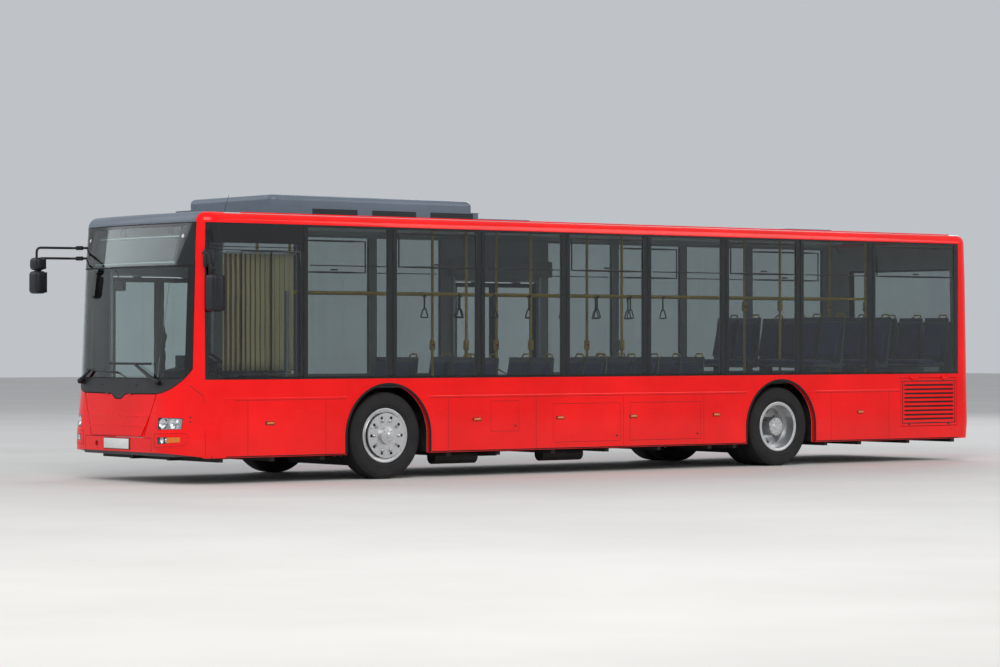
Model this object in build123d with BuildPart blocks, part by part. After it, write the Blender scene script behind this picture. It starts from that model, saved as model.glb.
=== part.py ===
"""A 12 m low-floor city bus as an assembly of panels, glazing, doors, axles, wheels and cabin parts.

Millimetres. +X points to the front, +Y to the left side, +Z up, with the ground at Z = 0.
"""

from build123d import *
from math import cos, radians, sin, sqrt
import os

os.makedirs("parts", exist_ok=True)

# Overall sizes
body_length = 11980
body_width = 2500
roof_height = 2880
mirror_ahead = 250
wheelbase = 5875
front_overhang = 2700
half_width = body_width / 2
nose_x = (body_length - mirror_ahead) / 2
rear_x = nose_x - body_length
front_axle_x = nose_x - front_overhang
rear_axle_x = front_axle_x - wheelbase
datum_ahead = 5710
datum_x = nose_x - datum_ahead
crease_setback = 352
crease_x = nose_x - crease_setback

# Walls and fits
wall = 60
glass = 8
seat_gap = 0.3
flap_gap = 6
roof_edge_radius = 110
rear_bulge = 50
rear_corner_radius = 200
cant_y = 1118

# Levels of the body's outer form: height, set-back of the front's tip, bulge of the front in plan,
# front corner radius, rear set-in
skirt_z = 280
bumper_z = 480
belt_z = 960
transom_z = 2305
header_z = roof_height - roof_edge_radius
BODY_LEVELS = [
    (skirt_z, 5, 40, 500, 20),
    (bumper_z, 0, 42, 505, 0),
    (belt_z, 22, 60, 560, 10),
    (transom_z, 102, 114, 440, 40),
    (header_z, 216, 91, 230, 60),
]
CROWN_ANGLES = (0, 22.5, 45, 67.5, 90)
rear_split_x = rear_x + 260


def front_arc_radius(bulge):
    """Radius of the front's broad arc, which would meet the flat sides one bulge behind its tip."""
    return (half_width**2 + bulge**2) / (2 * bulge)


def plan_section(z, setback, bulge, radius, tail, inset):
    """One horizontal section of the body, set in by inset all round."""
    side = half_width - inset
    front_arc = front_arc_radius(bulge)
    tip = nose_x - setback
    end = tip - front_arc + sqrt((front_arc - inset) ** 2 - side**2)
    back = rear_x + tail + inset
    with BuildSketch(Plane.XY.offset(z)) as section:
        with BuildLine():
            ThreePointArc((end, -side), (tip - inset, 0), (end, side))
            Line((end, side), (back + rear_bulge, side))
            ThreePointArc((back + rear_bulge, side), (back, 0), (back + rear_bulge, -side))
            Line((back + rear_bulge, -side), (end, -side))
        make_face()
        fillet(section.vertices().group_by(Axis.X)[-1], radius - inset)
        fillet(section.vertices().sort_by(Axis.X)[0:2], rear_corner_radius - inset)
    return section.sketch.faces()[0]


def body_block(inset, drop=0):
    """The closed form of the body set in by inset, with its foot lowered by drop."""
    with BuildPart() as sides:
        loft(
            [
                plan_section(z - (drop if z == skirt_z else 0), setback, bulge, radius, tail, inset)
                for z, setback, bulge, radius, tail in BODY_LEVELS
            ],
            ruled=True,
        )
    _, setback, bulge, radius, tail = BODY_LEVELS[-1]
    edge = roof_edge_radius - inset
    with BuildPart() as crown:
        loft(
            [
                plan_section(
                    header_z + edge * sin(radians(a)), setback, bulge, radius, tail,
                    inset + edge * (1 - cos(radians(a))),
                )
                for a in CROWN_ANGLES
            ]
        )
    with BuildPart() as block:
        add(sides.part)
        add(crown.part)
    return block.part


def section_x(y, setback, bulge, radius):
    """X of one level's outline at y: on the front's broad arc or on the corner arc beside it."""
    arc = front_arc_radius(bulge)
    centre_x = nose_x - setback - arc
    corner_x = centre_x + sqrt((arc - radius) ** 2 - (half_width - radius) ** 2)
    tangent_y = arc * (half_width - radius) / (arc - radius)
    if abs(y) <= tangent_y:
        return centre_x + sqrt(arc**2 - y**2)
    return corner_x + sqrt(radius**2 - (abs(y) - half_width + radius) ** 2)


def front_face_x(y, z):
    """X of the front's outer face at (y, z)."""
    for (z0, *low, _), (z1, *high, _) in zip(BODY_LEVELS, BODY_LEVELS[1:]):
        if z0 <= z <= z1:
            share = (z - z0) / (z1 - z0)
            return section_x(y, *low) * (1 - share) + section_x(y, *high) * share
    return crease_x


def save(built, name):
    """Writes one finished piece as parts/name.step."""
    built.label = name
    export_step(built, f"parts/{name}.step")
    print(name, len(built.solids()), round(built.volume / 1e6, 1), built.is_valid)


hinge_pin = 5
hinge_barrel = 10
hinge_fit = 0.05
eye_length, ear_length, eye_play = 60, 30, 1.5
tab_length = 32


def hinge_eye(plane, stand_off):
    """The moving half of a barrel hinge: an eye and a tab down to a surface stand_off below the pin."""
    with BuildPart(plane) as eye:
        with Locations(Location((0, 0, 0), (0, 90, 0))):
            Cylinder(hinge_barrel, eye_length)
        with Locations((0, -(stand_off + 1) / 2, -tab_length / 2)):
            Box(eye_length, stand_off + 1, tab_length)
        with Locations(Location((0, 0, 0), (0, 90, 0))):
            Cylinder(hinge_pin + hinge_fit, eye_length, mode=Mode.SUBTRACT)
    return eye.part


def hinge_ears(plane, stand_off):
    """The fixed half of a barrel hinge: two ears with the pin between them."""
    middle = (eye_length + ear_length) / 2 + eye_play
    with BuildPart(plane) as ears:
        for sign in (1, -1):
            with Locations(Location((sign * middle, 0, 0), (0, 90, 0))):
                Cylinder(hinge_barrel, ear_length)
            with Locations((sign * middle, -(stand_off + 1) / 2, tab_length / 2)):
                Box(ear_length, stand_off + 1, tab_length)
        with Locations(Location((0, 0, 0), (0, 90, 0))):
            Cylinder(hinge_pin, eye_length + 2 * ear_length)
    return ears.part


outer = body_block(0)
inner = body_block(wall, 40)
rebate_block = body_block(glass + seat_gap)
glass_block = body_block(glass)
lamp_depth = 34
lamp_block = body_block(lamp_depth)
pocket_block = body_block(lamp_depth + seat_gap)
grown = body_block(-seat_gap, 40)
lining = body_block(wall + flap_gap, 40)

with BuildPart() as shell_build:
    add(outer)
    add(inner, mode=Mode.SUBTRACT)
shell = shell_build.part

with BuildPart() as pane_skin_build:
    add(outer)
    add(glass_block, mode=Mode.SUBTRACT)
pane_skin = pane_skin_build.part
with BuildPart() as rebate_skin_build:
    add(outer)
    add(rebate_block, mode=Mode.SUBTRACT)
rebate_skin = rebate_skin_build.part

# Windscreen and cowl, as seen from the front: half outline of the whole dark field in (y, z)
screen_side_y = 1127
screen_foot_z = 950
flange = 34
notch_depth = 52
notch_half, notch_run = 60, 90
foot_end_y, foot_end_rise = 700, 5
bend_y, bend_z = 960, 1021
screen_corner_z = 1222


def dark_field(grow):
    """Prism over the windscreen and cowl, its edge moved outwards by grow."""
    low = screen_foot_z - grow
    side = screen_side_y + grow
    with BuildPart() as field:
        with BuildSketch(Plane.YZ.offset(crease_x)):
            with BuildLine():
                Polyline(
                    (0, low - notch_depth), (notch_half, low - notch_depth), (notch_half + notch_run, low),
                    (foot_end_y, low + foot_end_rise),
                )
                ThreePointArc(
                    (foot_end_y, low + foot_end_rise), (bend_y + grow * 0.5, bend_z - grow * 0.9),
                    (side, screen_corner_z),
                )
                Polyline((side, screen_corner_z), (side, header_z + grow), (0, header_z + grow),
                         (0, low - notch_depth))
            make_face()
            mirror(about=Plane.YZ)
        extrude(amount=crease_setback + 100)
    return field.part


field = dark_field(0)
field_cut = dark_field(seat_gap)
field_inner = dark_field(-flange)


def slab(x0, x1, y0, y1, z0, z1):
    """A plain box between two corners, given in any order."""
    box = Box(abs(x1 - x0), abs(y1 - y0), abs(z1 - z0), mode=Mode.PRIVATE)
    return Pos((x0 + x1) / 2, (y0 + y1) / 2, (z0 + z1) / 2) * box


far = 9000

# Front mask: lower corners, bumper centre and, as its own moving piece, the service flap
flap_top_y, flap_foot_y, flap_top_z, flap_foot_z = 736, 538, 945, 493
flap_slope = (flap_top_y - flap_foot_y) / (flap_top_z - flap_foot_z)
flap_over = 45
flap_side_gap = 13
flap_relief = 45
bumper_y = 687
mask_foot_z, mask_rise_run = 333, 320
lamp_seat = 0.5
HEADLAMP = [(800, 580), (1078, 586), (1078, 704), (800, 708)]
FOGLAMP = [(804, 425), (1072, 451), (1072, 505), (804, 499)]


def front_prism(points, grow=0):
    """Prism ahead of the crease over an outline in (y, z), grown sideways by grow."""
    with BuildPart() as prism:
        with BuildSketch(Plane.YZ.offset(crease_x)) as outline:
            with BuildLine():
                Polyline(*points, close=True)
            make_face()
            if grow:
                offset(amount=grow, kind=Kind.INTERSECTION)
        extrude(amount=crease_setback + 100)
    return prism.part


def both_sides(piece):
    """A left piece with its mirror image on the right."""
    with BuildPart() as pair:
        add(piece)
        mirror(about=Plane.XZ)
    return pair.part


def flap_outline(side, foot):
    """The flap's outline with its slanted sides moved out by side and its foot moved down by foot."""
    head_y = flap_top_y + flap_slope * flap_over + side
    foot_y = flap_foot_y - flap_slope * foot + side
    head_z = flap_top_z + flap_over
    return [(-foot_y, flap_foot_z - foot), (foot_y, flap_foot_z - foot), (head_y, head_z), (-head_y, head_z)]


BUMPER = [(-bumper_y, 200), (bumper_y, 200), (bumper_y, flap_foot_z - flap_gap), (-bumper_y, flap_foot_z - flap_gap)]
seam_foot_z, seam_head_z = 929, 1066
seam_run = 142

with BuildPart() as mask_band:
    add(shell)
    add(slab(crease_x, nose_x + 10, -far, far, 0, header_z), mode=Mode.INTERSECT)
    add(field_cut, mode=Mode.SUBTRACT)
    with BuildSketch(Plane.XZ) as above_seam:
        with BuildLine():
            Polyline(
                (crease_x - 1, seam_foot_z), (crease_x + seam_run, seam_head_z), (crease_x + seam_run, 3000),
                (crease_x - 1, 3000), close=True,
            )
        make_face()
    extrude(amount=far, both=True, mode=Mode.SUBTRACT)
    with BuildSketch(Plane.XZ) as foot_rise:
        with BuildLine():
            Polyline(
                (crease_x, skirt_z - 5), (crease_x, skirt_z + 8), (crease_x + mask_rise_run, mask_foot_z),
                (nose_x + 20, mask_foot_z), (nose_x + 20, skirt_z - 5), close=True,
            )
        make_face()
    extrude(amount=far, both=True, mode=Mode.SUBTRACT)
mask = mask_band.part

with BuildPart() as lamp_layer:
    add(outer)
    add(lamp_block, mode=Mode.SUBTRACT)
with BuildPart() as pocket_layer:
    add(shell)
    add(pocket_block, mode=Mode.SUBTRACT)

with BuildPart() as front_mask:
    add(mask)
    add(front_prism(flap_outline(flap_side_gap, flap_gap)), mode=Mode.SUBTRACT)
    add(front_prism(BUMPER), mode=Mode.SUBTRACT)
    for points in (HEADLAMP, FOGLAMP):
        with BuildPart(mode=Mode.PRIVATE) as pocket:
            add(both_sides(front_prism(points)))
            add(pocket_layer.part, mode=Mode.INTERSECT)
        add(pocket.part, mode=Mode.SUBTRACT)
save(front_mask.part, "front_mask")

socket_y, socket_z = -430, 410
socket_radius, socket_wall, socket_depth = 22, 12, 150
with BuildPart() as front_bumper:
    add(mask)
    add(front_prism(BUMPER), mode=Mode.INTERSECT)
    socket_x = front_face_x(socket_y, socket_z)
    with Locations((socket_x - socket_depth / 2 - 10, socket_y, socket_z)):
        Cylinder(socket_radius + socket_wall, socket_depth - 20, rotation=(0, 90, 0))
    with Locations((socket_x - socket_depth / 2 + 10, socket_y, socket_z)):
        Cylinder(socket_radius, socket_depth, rotation=(0, 90, 0), mode=Mode.SUBTRACT)
save(front_bumper.part, "front_bumper")

# The flap's hinges sit in the seam over it: small barrels on the line of the front's tip
flap_pin, flap_barrel = 3, 6
flap_eye, flap_ear = 40, 24
flap_pin_z = screen_foot_z - flap_gap / 2
flap_pin_x = front_face_x(0, flap_pin_z) + 0.5
FLAP_HINGE_Y = (-240, 240)
hinge_bay = (flap_eye + 2 * flap_ear) / 2 + eye_play + 8
flap_bays = [
    slab(flap_pin_x - flap_barrel - 2, far, y - hinge_bay, y + hinge_bay, flap_pin_z - flap_barrel - 2,
         flap_pin_z + flap_barrel + 2)
    for y in FLAP_HINGE_Y
]
with BuildPart() as front_flap:
    with BuildPart(mode=Mode.PRIVATE) as flap_lip:
        add(front_prism(flap_outline(0, 0)))
        add(pane_skin, mode=Mode.INTERSECT)
    with BuildPart(mode=Mode.PRIVATE) as flap_core:
        add(front_prism(flap_outline(-flap_relief, 0)))
        add(mask, mode=Mode.INTERSECT)
    add(flap_lip.part)
    add(flap_core.part)
    add(dark_field(flap_gap), mode=Mode.SUBTRACT)
    for bay in flap_bays:
        add(bay, mode=Mode.SUBTRACT)
    for y in FLAP_HINGE_Y:
        add(slab(flap_pin_x - flap_barrel - 4, flap_pin_x, y - flap_eye / 2, y + flap_eye / 2, flap_pin_z - 24,
                 flap_pin_z))
        with Locations((flap_pin_x, y, flap_pin_z)):
            Cylinder(flap_barrel, flap_eye, rotation=(90, 0, 0))
            Cylinder(flap_pin + hinge_fit, flap_eye, rotation=(90, 0, 0), mode=Mode.SUBTRACT)
save(front_flap.part, "front_flap")

with BuildPart() as front_lamps:
    for points in (HEADLAMP, FOGLAMP):
        with BuildPart(mode=Mode.PRIVATE) as lens:
            add(both_sides(front_prism(points, -lamp_seat)))
            add(lamp_layer.part, mode=Mode.INTERSECT)
        add(lens.part)
save(front_lamps.part, "front_lamps")

# Front pillars, dome and the frame behind the windscreen
with BuildPart() as front_pillars:
    add(shell)
    add(slab(crease_x, nose_x + 10, -far, far, seam_foot_z, far), mode=Mode.INTERSECT)
    add(mask, mode=Mode.SUBTRACT)
    add(field_cut, mode=Mode.SUBTRACT)
    add(slab(crease_x - 10, nose_x + 10, -cant_y, cant_y, screen_corner_z + 100, far), mode=Mode.SUBTRACT)
save(front_pillars.part, "front_pillars")

with BuildPart() as front_dome:
    add(shell)
    add(slab(crease_x, nose_x + 10, -cant_y, cant_y, header_z, far), mode=Mode.INTERSECT)
    add(field_cut, mode=Mode.SUBTRACT)
save(front_dome.part, "front_dome")

pane_split = 5
with BuildPart() as windscreen:
    add(pane_skin)
    add(field, mode=Mode.INTERSECT)
    for bay in flap_bays:
        add(bay, mode=Mode.SUBTRACT)
    add(slab(0, far, -far, far, transom_z, transom_z + pane_split), mode=Mode.SUBTRACT)
save(windscreen.part, "windscreen")

transom_half = 20
with BuildPart() as screen_frame:
    with BuildPart(mode=Mode.PRIVATE) as ring:
        add(field_cut)
        add(field_inner, mode=Mode.SUBTRACT)
    with BuildPart(mode=Mode.PRIVATE) as bar:
        add(field_cut)
        add(slab(0, far, -far, far, transom_z - transom_half, transom_z + transom_half), mode=Mode.INTERSECT)
    add(rebate_block)
    add(inner, mode=Mode.SUBTRACT)
    with BuildPart(mode=Mode.PRIVATE) as frame_form:
        add(ring.part)
        add(bar.part)
    add(frame_form.part, mode=Mode.INTERSECT)
    for y in FLAP_HINGE_Y:
        for sign in (1, -1):
            middle = y + sign * ((flap_eye + flap_ear) / 2 + eye_play)
            y0, y1 = middle - flap_ear / 2, middle + flap_ear / 2
            add(slab(flap_pin_x - 26, flap_pin_x, y0, y1, flap_pin_z - 1, flap_pin_z + 3.5))
            add(slab(flap_pin_x - 26, flap_pin_x - 14, y0, y1, flap_pin_z - 1, flap_pin_z + 14))
            with Locations((flap_pin_x, middle, flap_pin_z)):
                Cylinder(flap_barrel, flap_ear, rotation=(90, 0, 0))
        with Locations((flap_pin_x, y, flap_pin_z)):
            Cylinder(flap_pin, flap_eye + 2 * flap_ear, rotation=(90, 0, 0))
save(screen_frame.part, "screen_frame")

# Side walls with their window band, wheel arches, doorways and radiator flap
inner_y = half_width - wall
band_foot_z, band_head_z = 1106, 2764
pillar_width = 110
arch_radius = 560
wheel_z = 478
door_foot_z, door_head_z = 332, 2248
band_front_x, band_rear_x = crease_x - 12, rear_split_x + 60
side_edge = band_foot_z + 26



def along(*places):
    """Lengthwise places that are given from the layout's datum."""
    return [datum_x + place for place in places]


DOORWAYS = {"front": along(3790, 5070), "mid": along(-990, 290)}
LEFT_POSTS = along(4130, 2950, 1730, 500, -730, -1960, -3190, -4420)
RIGHT_POSTS = along(3650, 2540, 1490, 430, -1130, -2280, -3430, -4580)
RADIATOR_FLAP = (*along(-5920, -4920), 450, 1050)
side_stand_off = 12
RADIATOR_HINGES = [
    Plane(origin=(x, half_width + side_stand_off, RADIATOR_FLAP[3] + flap_gap / 2), x_dir=(1, 0, 0), z_dir=(0, 0, 1))
    for x in along(-5700, -5140)
]


def side_slab(side, x0, x1, z0, z1, depth0, depth1):
    """Box in one side wall from depth0 to depth1 below its outer face."""
    y0, y1 = sorted((side * (half_width - depth0), side * (half_width - depth1)))
    return slab(x0, x1, y0, y1, z0, z1)


def wheel_arch(x):
    """Cutter through both side walls at one axle."""
    with BuildPart() as cutter:
        with BuildSketch(Plane.XZ) as arch:
            with Locations((x, wheel_z)):
                Circle(arch_radius)
            with Locations((x, 0)):
                Rectangle(2 * arch_radius, 2 * wheel_z)
        extrude(amount=far, both=True)
    return cutter.part


def apertures(posts, doorways):
    """Openings between the window posts, with the doorways left as solid wall."""
    edges = [band_front_x - 40] + posts + [band_rear_x + 40]
    runs = []
    for n, (front, rear) in enumerate(zip(edges, edges[1:])):
        x1 = front if n == 0 else front - pillar_width / 2
        x0 = rear if n == len(edges) - 2 else rear + pillar_width / 2
        if not any(x0 < (d0 + d1) / 2 < x1 for d0, d1 in doorways):
            runs.append((x0, x1))
    return runs


def side_wall(side, posts, doorways):
    """One side of the body from the front crease to the rear corner."""
    with BuildPart() as side_build:
        add(shell)
        add(slab(rear_split_x, crease_x, *sorted((side * 600, side * far)), 0, far), mode=Mode.INTERSECT)
        add(slab(-far, far, -cant_y, cant_y, header_z, far), mode=Mode.SUBTRACT)
        with BuildPart(mode=Mode.PRIVATE) as rebate:
            add(rebate_skin)
            add(side_slab(side, band_rear_x, band_front_x, band_foot_z, band_head_z, -5, 200), mode=Mode.INTERSECT)
        add(rebate.part, mode=Mode.SUBTRACT)
        for x in (front_axle_x, rear_axle_x):
            add(wheel_arch(x), mode=Mode.SUBTRACT)
        for x0, x1 in apertures(posts, doorways):
            add(side_slab(side, x0, x1, side_edge, band_head_z - 26, -5, 200), mode=Mode.SUBTRACT)
        for x0, x1 in doorways:
            add(side_slab(side, x0, x1, door_foot_z, door_head_z, -5, 200), mode=Mode.SUBTRACT)
        if side > 0:
            x0, x1, z0, z1 = RADIATOR_FLAP
            add(side_slab(side, x0 - flap_gap, x1 + flap_gap, z0 - flap_gap, z1 + flap_gap, -5, 200),
                mode=Mode.SUBTRACT)
            for plane in RADIATOR_HINGES:
                add(hinge_ears(plane, side_stand_off))
    return side_build.part


side_wall_left = side_wall(1, LEFT_POSTS, [])
save(side_wall_left, "side_wall_left")
side_wall_right = side_wall(-1, RIGHT_POSTS, list(DOORWAYS.values()))
save(side_wall_right, "side_wall_right")


def side_panes(side, posts, doorways):
    """Bonded side glass: one pane per bay, flush with the wall, and a short pane over each doorway."""
    edges = [band_front_x - seat_gap] + posts + [band_rear_x + seat_gap]
    head = band_head_z - seat_gap
    sill = band_foot_z + seat_gap
    lintel = door_head_z + 10
    with BuildPart() as bays:
        for n, (front, rear) in enumerate(zip(edges, edges[1:])):
            x1 = front if n == 0 else front - pane_split / 2
            x0 = rear if n == len(edges) - 2 else rear + pane_split / 2
            door = [(d0 - 30, d1 + 30) for d0, d1 in doorways if x0 < (d0 + d1) / 2 < x1]
            add(side_slab(side, x0, x1, lintel if door else sill, head, -5, 200))
            for d0, d1 in door:
                add(side_slab(side, x0, d0, sill, lintel - pane_split, -5, 200))
                add(side_slab(side, d1, x1, sill, lintel - pane_split, -5, 200))
    with BuildPart() as panes:
        add(pane_skin)
        add(bays.part, mode=Mode.INTERSECT)
    return panes.part


windows_left = side_panes(1, LEFT_POSTS, [])
windows_right = side_panes(-1, RIGHT_POSTS, list(DOORWAYS.values()))

x0, x1, z0, z1 = RADIATOR_FLAP
with BuildPart() as radiator_flap:
    add(side_slab(1, x0, x1, z0, z1, 0, wall))
    louvre_count = 9
    louvre_pitch = (z1 - z0 - 120) / louvre_count
    for n in range(louvre_count):
        z = z0 + 60 + louvre_pitch * (n + 0.5)
        add(side_slab(1, x0 + 60, x1 - 60, z - 12, z + 12, -5, 22), mode=Mode.SUBTRACT)
    for plane in RADIATOR_HINGES:
        add(hinge_eye(plane, side_stand_off))
save(radiator_flap.part, "radiator_flap")

# Rear panel with window, engine flap and lamp clusters
ENGINE_FLAP = (-850, 850, 560, 1460)
REAR_WINDOW = (-950, 950, 1720, 2480)
TAIL_LAMPS = [(1030, 760), (1130, 760), (1130, 1420), (1030, 1420)]


def rear_prism(y0, y1, z0, z1):
    """Box through the rear wall over an outline in (y, z)."""
    return slab(rear_x - 50, rear_split_x, y0, y1, z0, z1)


ey0, ey1, ez0, ez1 = ENGINE_FLAP
wy0, wy1, wz0, wz1 = REAR_WINDOW
engine_pin_x = rear_x + 18
engine_stand_off = 15
ENGINE_HINGES = [
    Plane(origin=(engine_pin_x, y, ez1 + flap_gap / 2), x_dir=(0, 1, 0), z_dir=(0, 0, 1)) for y in (-600, 600)
]
with BuildPart() as rear_glass_layer:
    add(rebate_skin)
    add(rear_prism(wy0, wy1, wz0, wz1), mode=Mode.INTERSECT)
with BuildPart() as rear_lamp_pockets:
    add(pocket_layer.part)
    add(both_sides(rear_prism(1030, 1130, 760, 1420)), mode=Mode.INTERSECT)
with BuildPart() as rear_panel:
    add(shell)
    add(slab(rear_x - 10, rear_split_x, -far, far, 0, far), mode=Mode.INTERSECT)
    add(rear_glass_layer.part, mode=Mode.SUBTRACT)
    add(rear_prism(wy0 + 30, wy1 - 30, wz0 + 30, wz1 - 30), mode=Mode.SUBTRACT)
    add(rear_prism(ey0 - flap_gap, ey1 + flap_gap, ez0 - flap_gap, ez1 + flap_gap), mode=Mode.SUBTRACT)
    add(rear_lamp_pockets.part, mode=Mode.SUBTRACT)
    for plane in ENGINE_HINGES:
        add(hinge_ears(plane, engine_stand_off))
save(rear_panel.part, "rear_panel")

with BuildPart() as engine_flap:
    add(shell)
    add(rear_prism(ey0, ey1, ez0, ez1), mode=Mode.INTERSECT)
    for plane in ENGINE_HINGES:
        add(hinge_eye(plane, engine_stand_off))
save(engine_flap.part, "engine_flap")

with BuildPart() as windows:
    add(pane_skin)
    add(rear_prism(wy0 + seat_gap, wy1 - seat_gap, wz0 + seat_gap, wz1 - seat_gap), mode=Mode.INTERSECT)
    add(windows_left)
    add(windows_right)
save(windows.part, "windows")

with BuildPart() as tail_lamps:
    add(lamp_layer.part)
    add(both_sides(rear_prism(1030 + lamp_seat, 1130 - lamp_seat, 760 + lamp_seat, 1420 - lamp_seat)),
        mode=Mode.INTERSECT)
save(tail_lamps.part, "tail_lamps")

# Roof with two hatches and the air-conditioning pod
hatch_size = 700
hatch_lip = 40
hatch_rise = 50
HATCHES = dict(zip(("front", "rear"), along(700, -4200)))
HATCH_HINGE_Y = (-220, 220)
hatch_half = hatch_size / 2 + hatch_lip
hatch_pin_ahead = 16
hatch_pin_z = roof_height + flap_gap + hatch_rise / 2
with BuildPart() as roof_panel:
    add(shell)
    add(slab(rear_split_x, crease_x, -cant_y, cant_y, header_z, far), mode=Mode.INTERSECT)
    for x in HATCHES.values():
        add(slab(x - hatch_size / 2, x + hatch_size / 2, -hatch_size / 2, hatch_size / 2, 2000, 3000),
            mode=Mode.SUBTRACT)
        for y in HATCH_HINGE_Y:
            pin_x = x + hatch_half + hatch_pin_ahead
            for sign in (1, -1):
                middle = y + sign * ((eye_length + ear_length) / 2 + eye_play)
                with Locations((pin_x, middle, (roof_height - 5 + hatch_pin_z + hinge_barrel) / 2)):
                    Box(2 * hinge_barrel, ear_length, hatch_pin_z + hinge_barrel - roof_height + 5)
            with Locations((pin_x, y, hatch_pin_z)):
                Cylinder(hinge_pin, eye_length + 2 * ear_length, rotation=(90, 0, 0))
save(roof_panel.part, "roof_panel")

for name, x in HATCHES.items():
    with BuildPart() as hatch:
        half = hatch_half
        add(slab(x - half, x + half, -half, half, roof_height + flap_gap, roof_height + flap_gap + hatch_rise))
        fillet(hatch.edges().filter_by(Axis.Z), 60)
        chamfer(hatch.faces().sort_by(Axis.Z)[-1].edges(), 15)
        for y in HATCH_HINGE_Y:
            pin_x = x + half + hatch_pin_ahead
            add(slab(x + half - 5, pin_x, y - eye_length / 2, y + eye_length / 2, hatch_pin_z - 9, hatch_pin_z + 9))
            with Locations((pin_x, y, hatch_pin_z)):
                Cylinder(hinge_barrel, eye_length, rotation=(90, 0, 0))
                Cylinder(hinge_pin + hinge_fit, eye_length, rotation=(90, 0, 0), mode=Mode.SUBTRACT)
    save(hatch.part, f"hatch_{name}")

pod_front_x, pod_rear_x = along(4460, 1460)
pod_half, pod_step, pod_top = 915, 90, 3105
with BuildPart() as roof_pod:
    add(slab(pod_rear_x, pod_front_x, -pod_half, pod_half, roof_height, roof_height + pod_step))
    add(slab(pod_rear_x + 60, pod_front_x - 160, -pod_half + 60, pod_half - 60, roof_height + pod_step, pod_top))
    fillet(roof_pod.edges().filter_by(Axis.Z), 120)
    fillet(roof_pod.faces().sort_by(Axis.Z)[-1].edges(), 60)
save(roof_pod.part, "roof_pod")

# Doors: a post turns two arms that carry the leaf at its middle, over its head and under its foot.
# The leaf turns back twice as far, so one edge swings in past the post while the other slides along the doorway.
leaf_gap = 8
jamb_gap = 14
leaf_thick = 40
leaf_inset = 4
frame_width = 48
post_radius = 18
post_y = 1148
post_pass = 39
pin_radius = 12
pin_fit = 0.05
plate_thick, plate_play = 10, 2
head_gap = 6
leaf_foot_z, leaf_head_z = 367, door_head_z - head_gap - plate_thick
arm_thick, arm_width = 16, 26
lug_half = 22
pin_over = 4
post_fit = 0.05
post_foot_z, post_head_z = 332, 2330
header_foot_z, header_cover_z = 2304, 2500
boss_radius, boss_height = 34, 8
arm_stand = plate_thick + plate_play
ARM_PLACES = ((leaf_foot_z, -1), (leaf_head_z, 1))


def leaf_run(x_post, sign):
    """Near edge, middle and far edge of a leaf, from its post."""
    near = x_post + sign * post_pass
    return near, near + sign * leaf_length / 2, near + sign * leaf_length


def door_leaf(x_post, sign):
    """A leaf with a plate and pin over its head and under its foot."""
    near, mid, far_edge = leaf_run(x_post, sign)
    y_out = half_width - leaf_inset
    with BuildPart() as leaf:
        with BuildSketch(Plane.XZ.offset(y_out)) as face:
            with Locations((mid, (leaf_foot_z + leaf_head_z) / 2)):
                Rectangle(leaf_length, leaf_head_z - leaf_foot_z)
                Rectangle(leaf_length - 2 * frame_width, leaf_head_z - leaf_foot_z - 2 * frame_width,
                          mode=Mode.SUBTRACT)
        extrude(amount=-leaf_thick)
        for z, up in ARM_PLACES:
            add(slab(mid - lug_half, mid + lug_half, -y_out + 5, -post_y + lug_half, z - up * 5, z + up * plate_thick))
            pin_end = z + up * (arm_stand + arm_thick + pin_over)
            with Locations((mid, -post_y, (z + pin_end) / 2)):
                Cylinder(pin_radius, abs(pin_end - z))
    return leaf.part


def leaf_pane(x_post, sign):
    """Glass seated in the middle of a leaf's frame."""
    near, mid, far_edge = leaf_run(x_post, sign)
    with BuildPart() as pane:
        y_out = half_width - leaf_inset - 10
        add(slab(near + sign * frame_width, far_edge - sign * frame_width, -y_out, -y_out + 6,
                 leaf_foot_z + frame_width, leaf_head_z - frame_width))
    return pane.part


def door_post(x_post, sign):
    """Turning post with two arms whose eyes hold the leaf's pins."""
    reach = post_pass + leaf_length / 2
    with BuildPart() as post:
        with Locations((x_post, -post_y, post_foot_z)):
            Cylinder(post_radius, post_head_z - post_foot_z, align=(Align.CENTER, Align.CENTER, Align.MIN))
        for z, up in ARM_PLACES:
            level = z + up * (arm_stand + arm_thick / 2)
            with Locations((x_post + sign * reach / 2, -post_y, level)):
                Box(reach, arm_width, arm_thick)
            with Locations((x_post + sign * reach, -post_y, level)):
                Cylinder(pin_radius + 12, arm_thick)
                Cylinder(pin_radius + pin_fit, arm_thick, mode=Mode.SUBTRACT)
    return post.part


post_beside = post_pass - jamb_gap
for name, (d0, d1) in DOORWAYS.items():
    leaf_length = (d1 - d0 - 2 * jamb_gap - leaf_gap) / 2
    for end, x_post, sign in (("a", d1 + post_beside, -1), ("b", d0 - post_beside, 1)):
        save(door_post(x_post, sign), f"door_post_{name}_{end}")
        save(door_leaf(x_post, sign), f"door_leaf_{name}_{end}")
        save(leaf_pane(x_post, sign), f"door_glass_{name}_{end}")

deck_z, deck_thick = 330, 40
with BuildPart() as door_headers:
    for d0, d1 in DOORWAYS.values():
        add(slab(d0 - 75, d1 + 75, -half_width, -960, header_foot_z, header_cover_z))
    add(inner, mode=Mode.INTERSECT)
    for d0, d1 in DOORWAYS.values():
        for x in (d0 - post_beside, d1 + post_beside):
            with Locations((x, -post_y, post_head_z)):
                Cylinder(post_radius + post_fit, 2 * (post_head_z - header_foot_z), mode=Mode.SUBTRACT)
            with Locations((x, -post_y, deck_z)):
                Cylinder(boss_radius, boss_height, align=(Align.CENTER, Align.CENTER, Align.MIN))
                Cylinder(post_radius + post_fit, 40, mode=Mode.SUBTRACT)
save(door_headers.part, "door_headers")

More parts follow.
